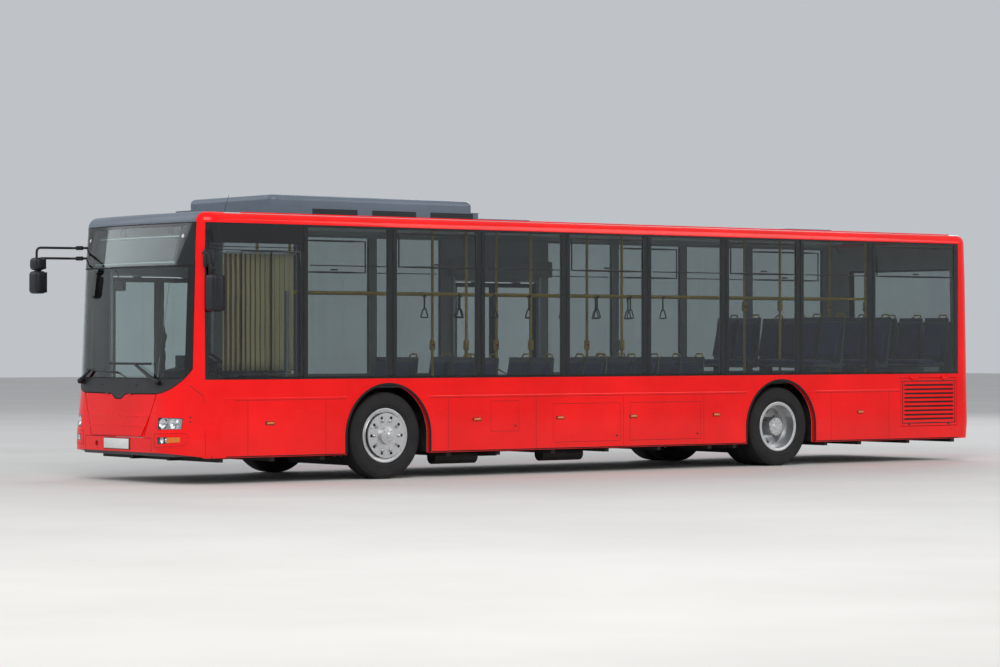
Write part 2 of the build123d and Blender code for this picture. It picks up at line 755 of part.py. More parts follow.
# Floor, rear platform, wheel housings and underframe
housing_half, housing_top = 620, 1010
front_housing_y, rear_housing_y = 505, 560
plate = 10
deck_rear_x = rear_axle_x - housing_half - 60
platform_z = 820
deck_nose_y = inner_y - 250
deck_nose_x = nose_x - 150
with BuildPart() as floor_deck:
    with BuildSketch(Plane.XY.offset(deck_z - deck_thick)):
        with BuildLine():
            Polyline(
                (deck_rear_x, 0), (deck_rear_x, inner_y), (crease_x - 175, inner_y), (crease_x - 20, inner_y - 32),
                (crease_x - 20, deck_nose_y), (deck_nose_x, deck_nose_y), (deck_nose_x, 0), (deck_rear_x, 0),
            )
        make_face()
        mirror(about=Plane.XZ)
    extrude(amount=deck_thick)
    for x, y in ((front_axle_x, front_housing_y), (rear_axle_x, rear_housing_y)):
        for side in (1, -1):
            add(slab(x - housing_half, x + housing_half, *sorted((side * y, side * far)), 0, 500),
                mode=Mode.SUBTRACT)
    for side in (1, -1):
        add(slab(rear_axle_x - 190, rear_axle_x + 190, side * 480, side * far, 0, 500), mode=Mode.SUBTRACT)
save(floor_deck.part, "floor_deck")

with BuildPart() as rear_platform:
    add(slab(rear_split_x + 20, deck_rear_x - plate, -inner_y, inner_y, platform_z - deck_thick, platform_z))
    add(slab(deck_rear_x - plate, deck_rear_x, -inner_y, inner_y, deck_z - deck_thick, platform_z))
    x0, x1, _, _ = RADIATOR_FLAP
    add(slab(x0 - 10, x1 + 10, inner_y - flap_gap, inner_y, 0, 2000), mode=Mode.SUBTRACT)
    for n in range(2):
        rise = (platform_z - deck_z) * (n + 1) / 3
        add(slab(deck_rear_x, deck_rear_x + 280 * (2 - n), -290, 290, deck_z, deck_z + rise))
save(rear_platform.part, "rear_platform")

with BuildPart() as wheel_housings:
    for x, y in ((front_axle_x, front_housing_y), (rear_axle_x, rear_housing_y)):
        for side in (1, -1):
            y0, y1 = sorted((side * y, side * inner_y))
            add(slab(x - housing_half, x + housing_half, y0, y1, deck_z - deck_thick, housing_top))
            y0, y1 = sorted((side * (y + plate), side * (inner_y + 5)))
            add(slab(x - housing_half + plate, x + housing_half - plate, y0, y1, 0, housing_top - plate),
                mode=Mode.SUBTRACT)
    add(slab(rear_axle_x - 190, rear_axle_x + 190, -700, 700, 0, 720), mode=Mode.SUBTRACT)
save(wheel_housings.part, "wheel_housings")

rail_y, rail_foot_z = 380, 232
with BuildPart() as underframe:
    for side in (1, -1):
        add(slab(deck_rear_x, crease_x - 60, side * rail_y - 30, side * rail_y + 30, rail_foot_z, deck_z - deck_thick))
        add(slab(rear_x + 330, deck_rear_x - plate, side * rail_y - 30, side * rail_y + 30, rail_foot_z, 290))
        add(slab(rear_x + 330, rear_x + 390, side * rail_y - 30, side * rail_y + 30, 290, platform_z - deck_thick))
    for x in along(5150, 4500, 3850, 2150, 1450, 650, -150, -950, -1750, -2150):
        add(slab(x - 30, x + 30, -inner_y, inner_y, rail_foot_z, deck_z - deck_thick))
    for x in (deck_rear_x - 120, *along(-4250, -5100), rear_x + 360):
        add(slab(x - 30, x + 30, -inner_y, inner_y, rail_foot_z, 290))
    add(body_block(wall, 60), mode=Mode.INTERSECT)
save(underframe.part, "underframe")

# Front axle and steering knuckles
kingpin_y = 980
kingpin_radius = 22
kingpin_fit = 0.05
fist_half, fist_radius = 70, 45
yoke_gap = 8
yoke_thick = 52
spindle_radius = 40
front_plane_y = 1060
beam_half = 55
beam_foot_z = 130
beam_depth = 88
with BuildPart() as front_axle:
    with BuildSketch(Plane.YZ.offset(front_axle_x)) as beam:
        with BuildLine():
            Polyline(
                (0, beam_foot_z), (640, beam_foot_z), (830, wheel_z - 44), (kingpin_y, wheel_z - 44),
                (kingpin_y, wheel_z + 44), (800, wheel_z + 44), (610, beam_foot_z + beam_depth),
                (0, beam_foot_z + beam_depth), close=True,
            )
        make_face()
        mirror(about=Plane.YZ)
    extrude(amount=beam_half, both=True)
    for side in (1, -1):
        with Locations((front_axle_x, side * kingpin_y, wheel_z)):
            Box(2 * beam_half + 20, 2 * fist_radius + 20, 4 * fist_half, mode=Mode.SUBTRACT)
            Cylinder(fist_radius, 2 * fist_half)
            Cylinder(kingpin_radius, 2 * (fist_half + yoke_gap + yoke_thick))
        with Locations((front_axle_x, side * (kingpin_y - fist_radius - 5), wheel_z)):
            Box(50, 60, 88)
save(front_axle.part, "front_axle")


def knuckle(side):
    """Yoke on the kingpin with the wheel's spindle."""
    back_y = kingpin_y + fist_radius + yoke_gap
    with BuildPart() as yoke:
        for sign in (1, -1):
            z = wheel_z + sign * (fist_half + yoke_gap + yoke_thick / 2)
            with Locations((front_axle_x, side * kingpin_y, z)):
                Cylinder(fist_radius, yoke_thick)
            with Locations((front_axle_x, side * (kingpin_y + back_y + 30) / 2, z)):
                Box(70, back_y + 30 - kingpin_y, yoke_thick)
            with Locations((front_axle_x, side * kingpin_y, z)):
                Cylinder(kingpin_radius + kingpin_fit, yoke_thick, mode=Mode.SUBTRACT)
        with Locations((front_axle_x, side * (back_y + 15), wheel_z)):
            Box(90, 30, 2 * (fist_half + yoke_gap + yoke_thick))
        with Locations((front_axle_x, side * (back_y + 80), wheel_z)):
            Cylinder(spindle_radius, 160, rotation=(90, 0, 0))
    return yoke.part


# Wheels: outlines as (distance from the wheel's middle plane, radius), outboard positive
tyre_radius, tyre_half = 478, 138
seat_radius, rim_half = 285.75, 116
tyre_seat = seat_radius + seat_gap
TYRE = [(-tyre_half, tyre_seat), (-tyre_half, tyre_radius), (tyre_half, tyre_radius), (tyre_half, tyre_seat)]
well_radius = 262
RIM = [(-rim_half, seat_radius), (rim_half, seat_radius), (rim_half, well_radius), (-rim_half, well_radius)]
disc_u, disc_thick = 146, 13
drum_radius, disc_bore = 246, 90
drum_foot = 40
DISC = [
    (drum_foot, well_radius + 4), (drum_foot, drum_radius - 16), (disc_u - disc_thick, drum_radius - 16),
    (disc_u - disc_thick, disc_bore), (disc_u, disc_bore), (disc_u, drum_radius),
    (drum_foot + 20, drum_radius), (drum_foot + 20, well_radius + 4),
]
hand_holes = 10
hand_hole_radius = 17
hand_hole_circle = 203


def turned(points, plane_y, flip=1):
    """Turns an outline about the wheel axis, with its middle plane at plane_y."""
    with BuildPart() as ring:
        with BuildSketch(Plane.XY) as outline:
            with BuildLine():
                Polyline(*((radius, plane_y + flip * u) for u, radius in points), close=True)
            make_face()
        revolve(axis=Axis.Y)
    return ring.part


def rim_with_disc(plane_y, flip=1):
    """Rim, disc and hand holes in one."""
    with BuildPart() as rim:
        add(turned(RIM, plane_y, flip))
        add(turned(DISC, plane_y, flip))
        with Locations(Plane.XZ.offset(-plane_y)):
            with PolarLocations(hand_hole_circle, hand_holes):
                Cylinder(hand_hole_radius, 2 * (disc_u + 10), mode=Mode.SUBTRACT)
    return rim.part


def on_axle(piece, x, side):
    """Places a left wheel piece at an axle, mirrored for the right side."""
    with BuildPart() as placed:
        with Locations((x, 0, wheel_z)):
            add(piece)
        if side < 0:
            mirror(about=Plane.XZ, mode=Mode.REPLACE)
    return placed.part


hub_bore_fit = 0.05
hub_inner_y = 1072
cap_y = front_plane_y + disc_u + 36
spindle_end_y = kingpin_y + fist_radius + yoke_gap + 160
with BuildPart() as front_wheel:
    add(rim_with_disc(front_plane_y))
    add(turned([(hub_inner_y - front_plane_y, 100), (disc_u - 13, 100), (disc_u - 13, 0),
                (hub_inner_y - front_plane_y, 0)], front_plane_y))
    add(turned([(disc_u - 13, 92), (disc_u + 36, 92), (disc_u + 36, 0), (disc_u - 13, 0)], front_plane_y))
    add(turned([(-200, spindle_radius + hub_bore_fit), (spindle_end_y + 6 - front_plane_y, spindle_radius + hub_bore_fit),
                (spindle_end_y + 6 - front_plane_y, 0), (-200, 0)], front_plane_y), mode=Mode.SUBTRACT)
front_tyre = turned(TYRE, front_plane_y)

stub_radius = 60
stub_end_y = 1130
outer_plane_y = 1070
inner_plane_y = outer_plane_y - 2 * disc_u - 14
mount_y = outer_plane_y - disc_u
with BuildPart() as rear_wheel:
    add(rim_with_disc(outer_plane_y, -1))
    add(rim_with_disc(inner_plane_y, 1))
    add(turned([(-250, 105), (232, 105), (232, 0), (-250, 0)], mount_y))
    add(turned([(-14, 180), (0, 180), (0, 80), (-14, 80)], mount_y))
    add(turned([(-400, stub_radius + hub_bore_fit), (stub_end_y + 6 - mount_y, stub_radius + hub_bore_fit),
                (stub_end_y + 6 - mount_y, 0), (-400, 0)], mount_y), mode=Mode.SUBTRACT)
with BuildPart() as rear_tyres:
    add(turned(TYRE, outer_plane_y))
    add(turned(TYRE, inner_plane_y))

for name, side in (("left", 1), ("right", -1)):
    save(knuckle(side), f"knuckle_{name}")
    save(on_axle(front_wheel.part, front_axle_x, side), f"rim_front_{name}")
    save(on_axle(front_tyre, front_axle_x, side), f"tyre_front_{name}")
    save(on_axle(rear_wheel.part, rear_axle_x, side), f"rim_rear_{name}")
    save(on_axle(rear_tyres.part, rear_axle_x, side), f"tyre_rear_{name}")

# Rear axle: low middle beam with raised ends that carry the stubs
with BuildPart() as rear_axle:
    add(slab(rear_axle_x - 110, rear_axle_x + 110, -590, 590, 140, 226))
    for side in (1, -1):
        y0, y1 = sorted((side * 500, side * 590))
        add(slab(rear_axle_x - 120, rear_axle_x + 120, y0, y1, 140, wheel_z + 120))
        with Locations((rear_axle_x, side * (590 + stub_end_y) / 2, wheel_z)):
            Cylinder(stub_radius, stub_end_y - 590, rotation=(90, 0, 0))
save(rear_axle.part, "rear_axle")

spring_radius = 95
with BuildPart() as air_springs:
    for x, y, foot in (
        (front_axle_x, 300, beam_foot_z + beam_depth), (rear_axle_x + 60, 200, 226),
    ):
        for side in (1, -1):
            with Locations((x, side * y, foot)):
                Cylinder(spring_radius / 2, deck_z - deck_thick - foot, align=(Align.CENTER, Align.CENTER, Align.MIN))

tank_radius = 80
with BuildPart() as air_parts:
    add(air_springs.part)
    for x in along(1800, 250):
        for side in (1, -1):
            with Locations((x, side * 800, deck_z - deck_thick - tank_radius - seat_gap)):
                Cylinder(tank_radius, 600, rotation=(0, 90, 0))
save(air_parts.part, "air_parts")

with BuildPart() as engine_block:
    x0, x1, x2 = along(-5950, -5700, -4400)
    add(slab(x1, x2, -320, 320, 290, 740))
    add(slab(x0, x1, -260, 260, 320, 640))
save(engine_block.part, "engine_block")

# Mirrors on their arms
def rod(start, end, radius):
    """Round bar between two points."""
    run = Vector(*end) - Vector(*start)
    bar = Cylinder(radius, run.length, align=(Align.CENTER, Align.CENTER, Align.MIN), mode=Mode.PRIVATE)
    return Plane(origin=start, z_dir=run) * bar


def bent_tube(points, radius, bend):
    """Tube through corner points with rounded bends."""
    with BuildPart() as tube:
        with BuildLine() as path:
            FilletPolyline(*points, radius=bend)
        with BuildSketch(path.line ^ 0):
            Circle(radius)
        sweep()
    return tube.part


mirror_tip_x = nose_x + mirror_ahead
mirror_tip_y = 1500
mirror_width = 200
tube_radius, tube_bend = 14, 12
right_head_depth, right_head_foot, right_head_top = 138, 2040, 2440
left_head_rear, left_head_depth, left_head_foot, left_head_top = crease_x - 70, 140, 1822, 2212
with BuildPart() as mirrors:
    for z, back in ((2549, 45), (2433, 85)):
        add(bent_tube(
            [(crease_x + 30, -half_width + 125, z), (crease_x + 150, -half_width - 30, z),
             (mirror_tip_x - back, -half_width - 130, z), (mirror_tip_x - back, -half_width - 135, 2390)],
            tube_radius, tube_bend,
        ))
    with BuildPart(mode=Mode.PRIVATE) as right_head:
        add(slab(mirror_tip_x - right_head_depth, mirror_tip_x, -mirror_tip_y, -mirror_tip_y + mirror_width,
                 right_head_foot, right_head_top))
        fillet(right_head.edges().filter_by(Axis.X), 50)
        fillet(right_head.faces().sort_by(Axis.X)[-1].edges(), 30)
    add(right_head.part)
    for z, ahead in ((2440, 55), (2330, 25)):
        add(bent_tube(
            [(crease_x + ahead - 60, half_width - 95, z), (crease_x + ahead - 10, half_width + 100, z),
             (crease_x + ahead - 20, half_width + 130, 2170)],
            tube_radius, tube_bend,
        ))
    with BuildPart(mode=Mode.PRIVATE) as left_head:
        add(slab(left_head_rear, left_head_rear + left_head_depth, mirror_tip_y - mirror_width, mirror_tip_y,
                 left_head_foot, left_head_top))
        fillet(left_head.edges().filter_by(Axis.X), 50)
        fillet(left_head.faces().sort_by(Axis.X)[-1].edges(), 30)
    add(left_head.part)
    add(outer, mode=Mode.SUBTRACT)
save(mirrors.part, "mirrors")

# Wipers parked on the windscreen
wiper_radius = 8
glass_clear = 3


def on_screen(y, z, lift):
    """A point ahead of the windscreen's outer face."""
    return (front_face_x(y, z) + lift, y, z)


WIPERS = [
    ((798, 1076), (340, 1270), (643, 1273), (-190, 1273)),
    ((-798, 1076), (-604, 1197), (-2, 1176), (-701, 1205)),
]
with BuildPart() as wipers:
    for (py, pz), (cy, cz), (ay, az), (by, bz) in WIPERS:
        add(rod(on_screen(py, pz, glass_clear), on_screen(py, pz, 55), 16))
        add(rod(on_screen(py, pz, 45), on_screen(cy, cz, 26), wiper_radius))
        add(rod(on_screen(ay, az, 26), on_screen(by, bz, 26), 9))
        add(rod(on_screen(cy, cz, 12), on_screen(cy, cz, 36), 12))
save(wipers.part, "wipers")

# Cab: dashboard, steering wheel, seat and partition
ceiling_z = roof_height - wall
dash_top_z = 1060
cab_floor_z = 560
with BuildPart() as dashboard:
    with BuildPart(mode=Mode.PRIVATE) as console:
        add(slab(crease_x - 10, nose_x, -1100, 1180, 700, dash_top_z))
        add(slab(crease_x - 190, crease_x, 340, half_width, deck_z, dash_top_z + 100))
    add(lining)
    add(console.part, mode=Mode.INTERSECT)
save(dashboard.part, "dashboard")

wheel_hub = (crease_x - 350, 760, 1290)
with BuildPart() as steering_wheel:
    with BuildPart(mode=Mode.PRIVATE) as rim_ring:
        Torus(225, 15)
        Cylinder(50, 26)
        with PolarLocations(0, 3, start_angle=90):
            with Locations((130, 0, 0)):
                Box(190, 26, 10)
        Cylinder(32, 300, align=(Align.CENTER, Align.CENTER, Align.MAX))
    with Locations(Location(wheel_hub, (0, -38, 0))):
        add(rim_ring.part)
    add(dashboard.part, mode=Mode.SUBTRACT)
save(steering_wheel.part, "steering_wheel")


def seat_form(width, seat_y, back_x, floor, facing, height):
    """Bench with cushion, reclined back and a pedestal; facing is +1 to the front."""
    with BuildPart() as bench:
        with BuildSketch(Plane.XZ.offset(-seat_y - width / 2)) as side_view:
            with BuildLine():
                Polyline(
                    *((back_x + facing * dx, floor + dz) for dx, dz in (
                        (0, 360), (440, 380), (440, 460), (90, 440), (-60, height), (-130, height), (-60, 360))),
                    close=True,
                )
            make_face()
        extrude(amount=width)
        add(slab(back_x + facing * 120, back_x + facing * 330, seat_y - 60, seat_y + 60, floor, floor + 380))
    return bench.part


with BuildPart() as driver_seat:
    step_x, seat_x = along(4350, 4500)
    add(slab(step_x, crease_x - 300, 260, inner_y, deck_z, cab_floor_z))
    add(seat_form(500, 760, seat_x, cab_floor_z, 1, 1050))
save(driver_seat.part, "driver_seat")

(partition_x,) = along(4290)
with BuildPart() as cab_partition:
    add(slab(partition_x, partition_x + 30, 240, inner_y, deck_z, 2050))
    add(slab(partition_x + 30, crease_x - 260, 230, 260, deck_z, 1250))
save(cab_partition.part, "cab_partition")

seat_width = 840
seat_side_y = inner_y - seat_width / 2
SEATS = [
    (1550, 1, deck_z, 1), (750, 1, deck_z, 1), (-50, 1, deck_z, 1), (-850, 1, deck_z, 1), (-1560, 1, deck_z, 1),
    (1550, -1, deck_z, 1), (750, -1, deck_z, 1), (-1640, -1, deck_z, 1),
    (-3900, 1, platform_z, 1), (-4700, 1, platform_z, 1), (-3900, -1, platform_z, 1), (-4700, -1, platform_z, 1),
]
with BuildPart() as passenger_seats:
    for x, side, floor, facing in SEATS:
        add(seat_form(seat_width, side * seat_side_y, datum_x + x, floor, facing, 1000))
    add(seat_form(2 * inner_y - 20, 0, rear_x + 480, platform_z, 1, 1000))
save(passenger_seats.part, "passenger_seats")

pole_radius, pole_y = 17, 330
POLES = along(3700, 1250, 300, -1100)
REAR_POLES = along(-3700, -5200)
RAIL_ENDS = along(-5300, 3750)
with BuildPart() as handrails:
    for side in (1, -1):
        for x in POLES:
            with Locations((x, side * pole_y, deck_z)):
                Cylinder(pole_radius, ceiling_z - deck_z, align=(Align.CENTER, Align.CENTER, Align.MIN))
        for x in REAR_POLES:
            with Locations((x, side * pole_y, platform_z)):
                Cylinder(pole_radius, ceiling_z - platform_z, align=(Align.CENTER, Align.CENTER, Align.MIN))
        add(rod((RAIL_ENDS[0], side * pole_y, 2060), (RAIL_ENDS[1], side * pole_y, 2060), 16))
save(handrails.part, "handrails")

with BuildPart() as destination_sign:
    with BuildPart(mode=Mode.PRIVATE) as sign_box:
        add(slab(crease_x - 60, nose_x, -850, 850, 2350, 2650))
    add(lining)
    add(sign_box.part, mode=Mode.INTERSECT)
    with BuildPart(mode=Mode.PRIVATE) as hangers:
        for y in (-500, 500):
            add(slab(crease_x - 60, crease_x, y - 20, y + 20, 2600, ceiling_z + 10))
        add(inner, mode=Mode.INTERSECT)
    add(hangers.part)
save(destination_sign.part, "destination_sign")

print("front flap pin", round(flap_pin_x, 3), flap_pin_z, "socket face", round(socket_x, 3))
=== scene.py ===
"""Looks for the city bus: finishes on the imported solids, and the detail that road tyres, lamps, mirrors, seats,
trim and glass edges need. Metres, +X to the front, +Y to the left side, +Z up.
"""

import math

import bmesh
import bpy
from mathutils import Matrix, Vector


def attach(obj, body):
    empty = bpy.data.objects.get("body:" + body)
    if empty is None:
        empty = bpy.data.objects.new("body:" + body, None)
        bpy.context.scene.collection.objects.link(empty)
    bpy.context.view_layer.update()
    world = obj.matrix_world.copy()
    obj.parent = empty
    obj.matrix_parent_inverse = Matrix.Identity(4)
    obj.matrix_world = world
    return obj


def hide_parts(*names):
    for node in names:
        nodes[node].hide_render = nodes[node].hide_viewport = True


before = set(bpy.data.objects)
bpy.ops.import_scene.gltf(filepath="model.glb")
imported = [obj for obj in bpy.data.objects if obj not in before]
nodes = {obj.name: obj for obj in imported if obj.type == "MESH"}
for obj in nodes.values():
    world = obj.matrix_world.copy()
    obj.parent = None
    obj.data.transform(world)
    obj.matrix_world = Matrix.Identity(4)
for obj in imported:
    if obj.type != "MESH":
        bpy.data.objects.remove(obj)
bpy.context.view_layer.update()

# Sizes shared with the solids
NOSE_X, REAR_X = 5.865, -6.115
CREASE_X = 5.513
HALF_WIDTH = 1.25
DATUM_X = 0.155
FRONT_AXLE_X, REAR_AXLE_X, WHEEL_Z = 3.165, -2.71, 0.478
LEVELS = (  # height, set-back, bow and corner radius of the front's outline
    (0.280, 0.005, 0.040, 0.500), (0.480, 0.000, 0.042, 0.505), (0.960, 0.022, 0.060, 0.560),
    (2.305, 0.102, 0.114, 0.440), (2.770, 0.216, 0.091, 0.230),
)
TAIL_LEVELS = ((0.280, 0.020), (0.480, 0.000), (0.960, 0.010), (2.305, 0.040), (2.770, 0.060))  # height, set-back
TAIL_BOW, TAIL_CORNER = 0.05, 0.2
SLOPE_STEP = 0.002  # half the run over which a skin's slope is measured
BAND_FOOT, BAND_HEAD = 1.106, 2.764  # the band of glass along both sides
BAND_FRONT, BAND_REAR = 5.501, -5.795
LEFT_POSTS = [DATUM_X + v for v in (4.13, 2.95, 1.73, 0.50, -0.73, -1.96, -3.19, -4.42)]
RIGHT_POSTS = [DATUM_X + v for v in (3.65, 2.54, 1.49, 0.43, -1.13, -2.28, -3.43, -4.58)]
DOORWAYS = {"front": (3.945, 5.225), "mid": (-0.835, 0.445)}
LEAF_CLEARANCE, LEAF_GAP, LEAF_FACE = 0.014, 0.008, -1.246
SIDES = (("left", 1), ("right", -1))
SIDE_FACE = 1.2505  # just outside the flat sides
ARCH_RADIUS = 0.566
RUBBING_STRIPS = {  # from and to, between the wheel arches and the doorways
    1: ((-4.74, -3.28), (-2.14, 2.60), (3.73, 5.30)),
    -1: ((-5.85, -3.28), (-2.14, -0.90), (0.51, 2.60), (3.73, 3.90)),
}
FLOOR, CAB_FLOOR, REAR_FLOOR = 0.33, 0.56, 0.82
BENCH_X = REAR_X + 0.48
DRIVER_Y, BLIND_Y = 0.76, 1.155


# ---------------------------------------------------------------- skin of the body


def level_arcs(setback, bulge, radius):
    """One level's broad arc with its centre on X, and the centre of its corner arc."""
    arc = (HALF_WIDTH**2 + bulge**2) / (2 * bulge)
    centre = NOSE_X - setback - arc
    return arc, centre, centre + math.sqrt((arc - radius) ** 2 - (HALF_WIDTH - radius) ** 2)


def section_x(y, setback, bulge, radius):
    """X of one level's outline at y: on the broad arc or on the corner arc beside it."""
    arc, centre, corner = level_arcs(setback, bulge, radius)
    if abs(y) <= arc * (HALF_WIDTH - radius) / (arc - radius):
        return centre + math.sqrt(arc**2 - y**2)
    return corner + math.sqrt(max(radius**2 - (abs(y) - HALF_WIDTH + radius) ** 2, 0))


def section_y(x, setback, bulge, radius):
    """|Y| of one level's outline on its side or corner arc."""
    corner = level_arcs(setback, bulge, radius)[2]
    if x <= corner:
        return HALF_WIDTH
    return HALF_WIDTH - radius + math.sqrt(max(radius**2 - (x - corner) ** 2, 0))


def between_levels(levels, z, value):
    """Mixes a value of the two levels round a height."""
    for low, high in zip(levels, levels[1:]):
        if z <= high[0] or high is levels[-1]:
            share = min(max((z - low[0]) / (high[0] - low[0]), 0.0), 1.0)
            return value(*low[1:]) * (1 - share) + value(*high[1:]) * share


def front_x(y, z):
    """X of the outer skin ahead of the flat sides."""
    return between_levels(LEVELS, z, lambda *level: section_x(y, *level))


def side_y(x, z):
    """|Y| of the outer skin at a lengthwise place."""
    return between_levels(LEVELS, z, lambda *level: section_y(x, *level))


def rear_x(y, z):
    """X of the outer skin at the rear, bowed in plan with rounded corners."""
    back = REAR_X + between_levels(TAIL_LEVELS, z, lambda setback: setback)
    arc = (HALF_WIDTH**2 + TAIL_BOW**2) / (2 * TAIL_BOW)
    side = HALF_WIDTH - TAIL_CORNER
    if abs(y) <= arc * side / (arc - TAIL_CORNER):
        return back + arc - math.sqrt(arc**2 - y**2)
    middle = back + arc - math.sqrt((arc - TAIL_CORNER) ** 2 - side**2)
    return middle - math.sqrt(max(TAIL_CORNER**2 - (abs(y) - side) ** 2, 0))


def skin_frame(skin_x, outward, y, z, lift):
    """A point on a skin that gives X at (y, z), moved out by lift, and the outward normal there."""
    h = SLOPE_STEP
    across = Vector((skin_x(y + h, z) - skin_x(y - h, z), 2 * h, 0))
    up = Vector((skin_x(y, z + h) - skin_x(y, z - h), 0, 2 * h))
    normal = across.cross(up).normalized() * outward
    return Vector((skin_x(y, z), y, z)) + normal * lift, normal


def rear_point(y, z, lift=0.0):
    """Point and outward normal on the rear."""
    return skin_frame(rear_x, -1, y, z, lift)


def front_point(y, z, lift=0.0):
    """Point and outward normal on the front."""
    return skin_frame(front_x, 1, y, z, lift)


def side_point(side, x, z):
    """Point and outward normal on a side."""
    slope = (side_y(x + SLOPE_STEP, z) - side_y(x - SLOPE_STEP, z)) / (2 * SLOPE_STEP)
    return Vector((x, side * side_y(x, z), z)), Vector((-slope, side, 0)).normalized()


# ---------------------------------------------------------------- mesh helpers


def finish_mesh(bm, name, smooth=32):
    """Turns a bmesh into a mesh with outward faces and edges that stay sharp above an angle."""
    bmesh.ops.recalc_face_normals(bm, faces=bm.faces)
    limit = math.radians(smooth)
    for face in bm.faces:
        face.smooth = True
    for edge in bm.edges:
        if len(edge.link_faces) == 2 and edge.calc_face_angle(0) > limit:
            edge.smooth = False
    mesh = bpy.data.meshes.new(name)
    bm.to_mesh(mesh)
    bm.free()
    return mesh


def block(lo, hi, bevel=0.004, segments=2):
    """Box between two corners with rounded edges."""
    bm = bmesh.new()
    bmesh.ops.create_cube(bm, size=1)
    size = [abs(b - a) for a, b in zip(lo, hi)]
    mid = [(a + b) / 2 for a, b in zip(lo, hi)]
    for vert in bm.verts:
        vert.co = Vector([m + c * s for m, c, s in zip(mid, vert.co, size)])
    bevel = min(bevel, 0.45 * min(size))
    if bevel > 0:
        bmesh.ops.bevel(bm, geom=bm.edges[:], offset=bevel, segments=segments, affect="EDGES", profile=0.5)
    return finish_mesh(bm, "block")


def bridge(bm, rings, closed=False, capped=False):
    """Faces between each ring of vertices and the next, and over both ends where they are capped."""
    for a, b in zip(rings, rings[1:] + rings[:1] if closed else rings[1:]):
        for k in range(len(a)):
            n = (k + 1) % len(a)
            bm.faces.new((a[k], a[n], b[n], b[k]))
    if capped:
        bm.faces.new(rings[0][::-1])
        bm.faces.new(rings[-1])


def lathe(profile, centre=(0, 0, 0), axis="Z", steps=64, flip=1):
    """Turns (radius, along) points about an axis through centre; a closed profile gives a ring."""
    bm = bmesh.new()
    rings = []
    for radius, along in profile:
        ring = []
        for n in range(steps):
            a = 2 * math.pi * n / steps
            u, v, w = radius * math.cos(a), radius * math.sin(a), flip * along
            spot = {"X": (w, u, v), "Y": (u, w, v), "Z": (u, v, w)}[axis]
            ring.append(bm.verts.new(Vector(spot) + Vector(centre)))
        rings.append(ring)
    bridge(bm, rings, closed=profile[0][0] > 1e-6 and profile[-1][0] > 1e-6)
    bmesh.ops.remove_doubles(bm, verts=bm.verts, dist=1e-6)
    return finish_mesh(bm, "lathe")


def knob(rim, height=None, centre=(0, 0, 0), axis="Z", steps=20, flip=1):
    """Turned head of a screw, lock or button: its (radius, along) rim, closed to the axis above and below."""
    top = rim[0][1] if height is None else height
    return lathe([(0, top), *rim, (0, rim[-1][1])], centre, axis, steps, flip)


def smooth_path(points, per):
    """A smooth line through corner points."""
    spots = [Vector(p) for p in points]
    out = []
    for n in range(len(spots) - 1):
        p0 = spots[max(n - 1, 0)]
        p1, p2 = spots[n], spots[n + 1]
        p3 = spots[min(n + 2, len(spots) - 1)]
        for k in range(per):
            t = k / per
            out.append(0.5 * (2 * p1 + (p2 - p0) * t + (2 * p0 - 5 * p1 + 4 * p2 - p3) * t**2
                              + (3 * p1 - p0 - 3 * p2 + p3) * t**3))
    out.append(spots[-1])
    return out


def rounded_path(points, bend, per=6):
    """Straight runs joined by round bends."""
    spots = [Vector(p) for p in points]
    out = [spots[0]]
    for before, here, after in zip(spots, spots[1:], spots[2:]):
        a, b = (before - here).normalized(), (after - here).normalized()
        reach = min(bend, (before - here).length / 2, (after - here).length / 2)
        start, end = here + a * reach, here + b * reach
        for k in range(per + 1):
            t = k / per
            out.append(start * (1 - t) ** 2 + here * 2 * t * (1 - t) + end * t**2)
    out.append(spots[-1])
    return out


def tube(path, radius, steps=12):
    """Round tube along a path with closed ends; a list of radii follows the path."""
    path = [Vector(p) for p in path]
    bm = bmesh.new()
    normal = None
    rings = []
    for n, spot in enumerate(path):
        run = (path[min(n + 1, len(path) - 1)] - path[max(n - 1, 0)]).normalized()
        if normal is None:
            normal = run.orthogonal().normalized()
        normal = (normal - run * normal.dot(run)).normalized()
        other = run.cross(normal)
        r = radius[n] if isinstance(radius, list) else radius
        rings.append([
            bm.verts.new(spot + (normal * math.cos(a) + other * math.sin(a)) * r)
            for a in (2 * math.pi * k / steps for k in range(steps))
        ])
    bridge(bm, rings, capped=True)
    return finish_mesh(bm, "tube", 50)


def strip(points, normals, width, rise, sink=0.001, closed=False):
    """Flat bar that follows a line on a surface: width across, rise above and sink below it."""
    bm = bmesh.new()
    rows = []
    count = len(points)
    for n, up in enumerate(normals):
        before = points[(n - 1) % count] if closed else points[max(n - 1, 0)]
        after = points[(n + 1) % count] if closed else points[min(n + 1, count - 1)]
        across = (after - before).normalized().cross(up).normalized() * (width / 2)
        rows.append([bm.verts.new(points[n] + a + up * h) for a, h in (
            (-across, -sink), (-across, rise * 0.6), (-across * 0.7, rise), (across * 0.7, rise),
            (across, rise * 0.6), (across, -sink))])
    bridge(bm, rows, closed, capped=not closed)
    return finish_mesh(bm, "strip", 40)


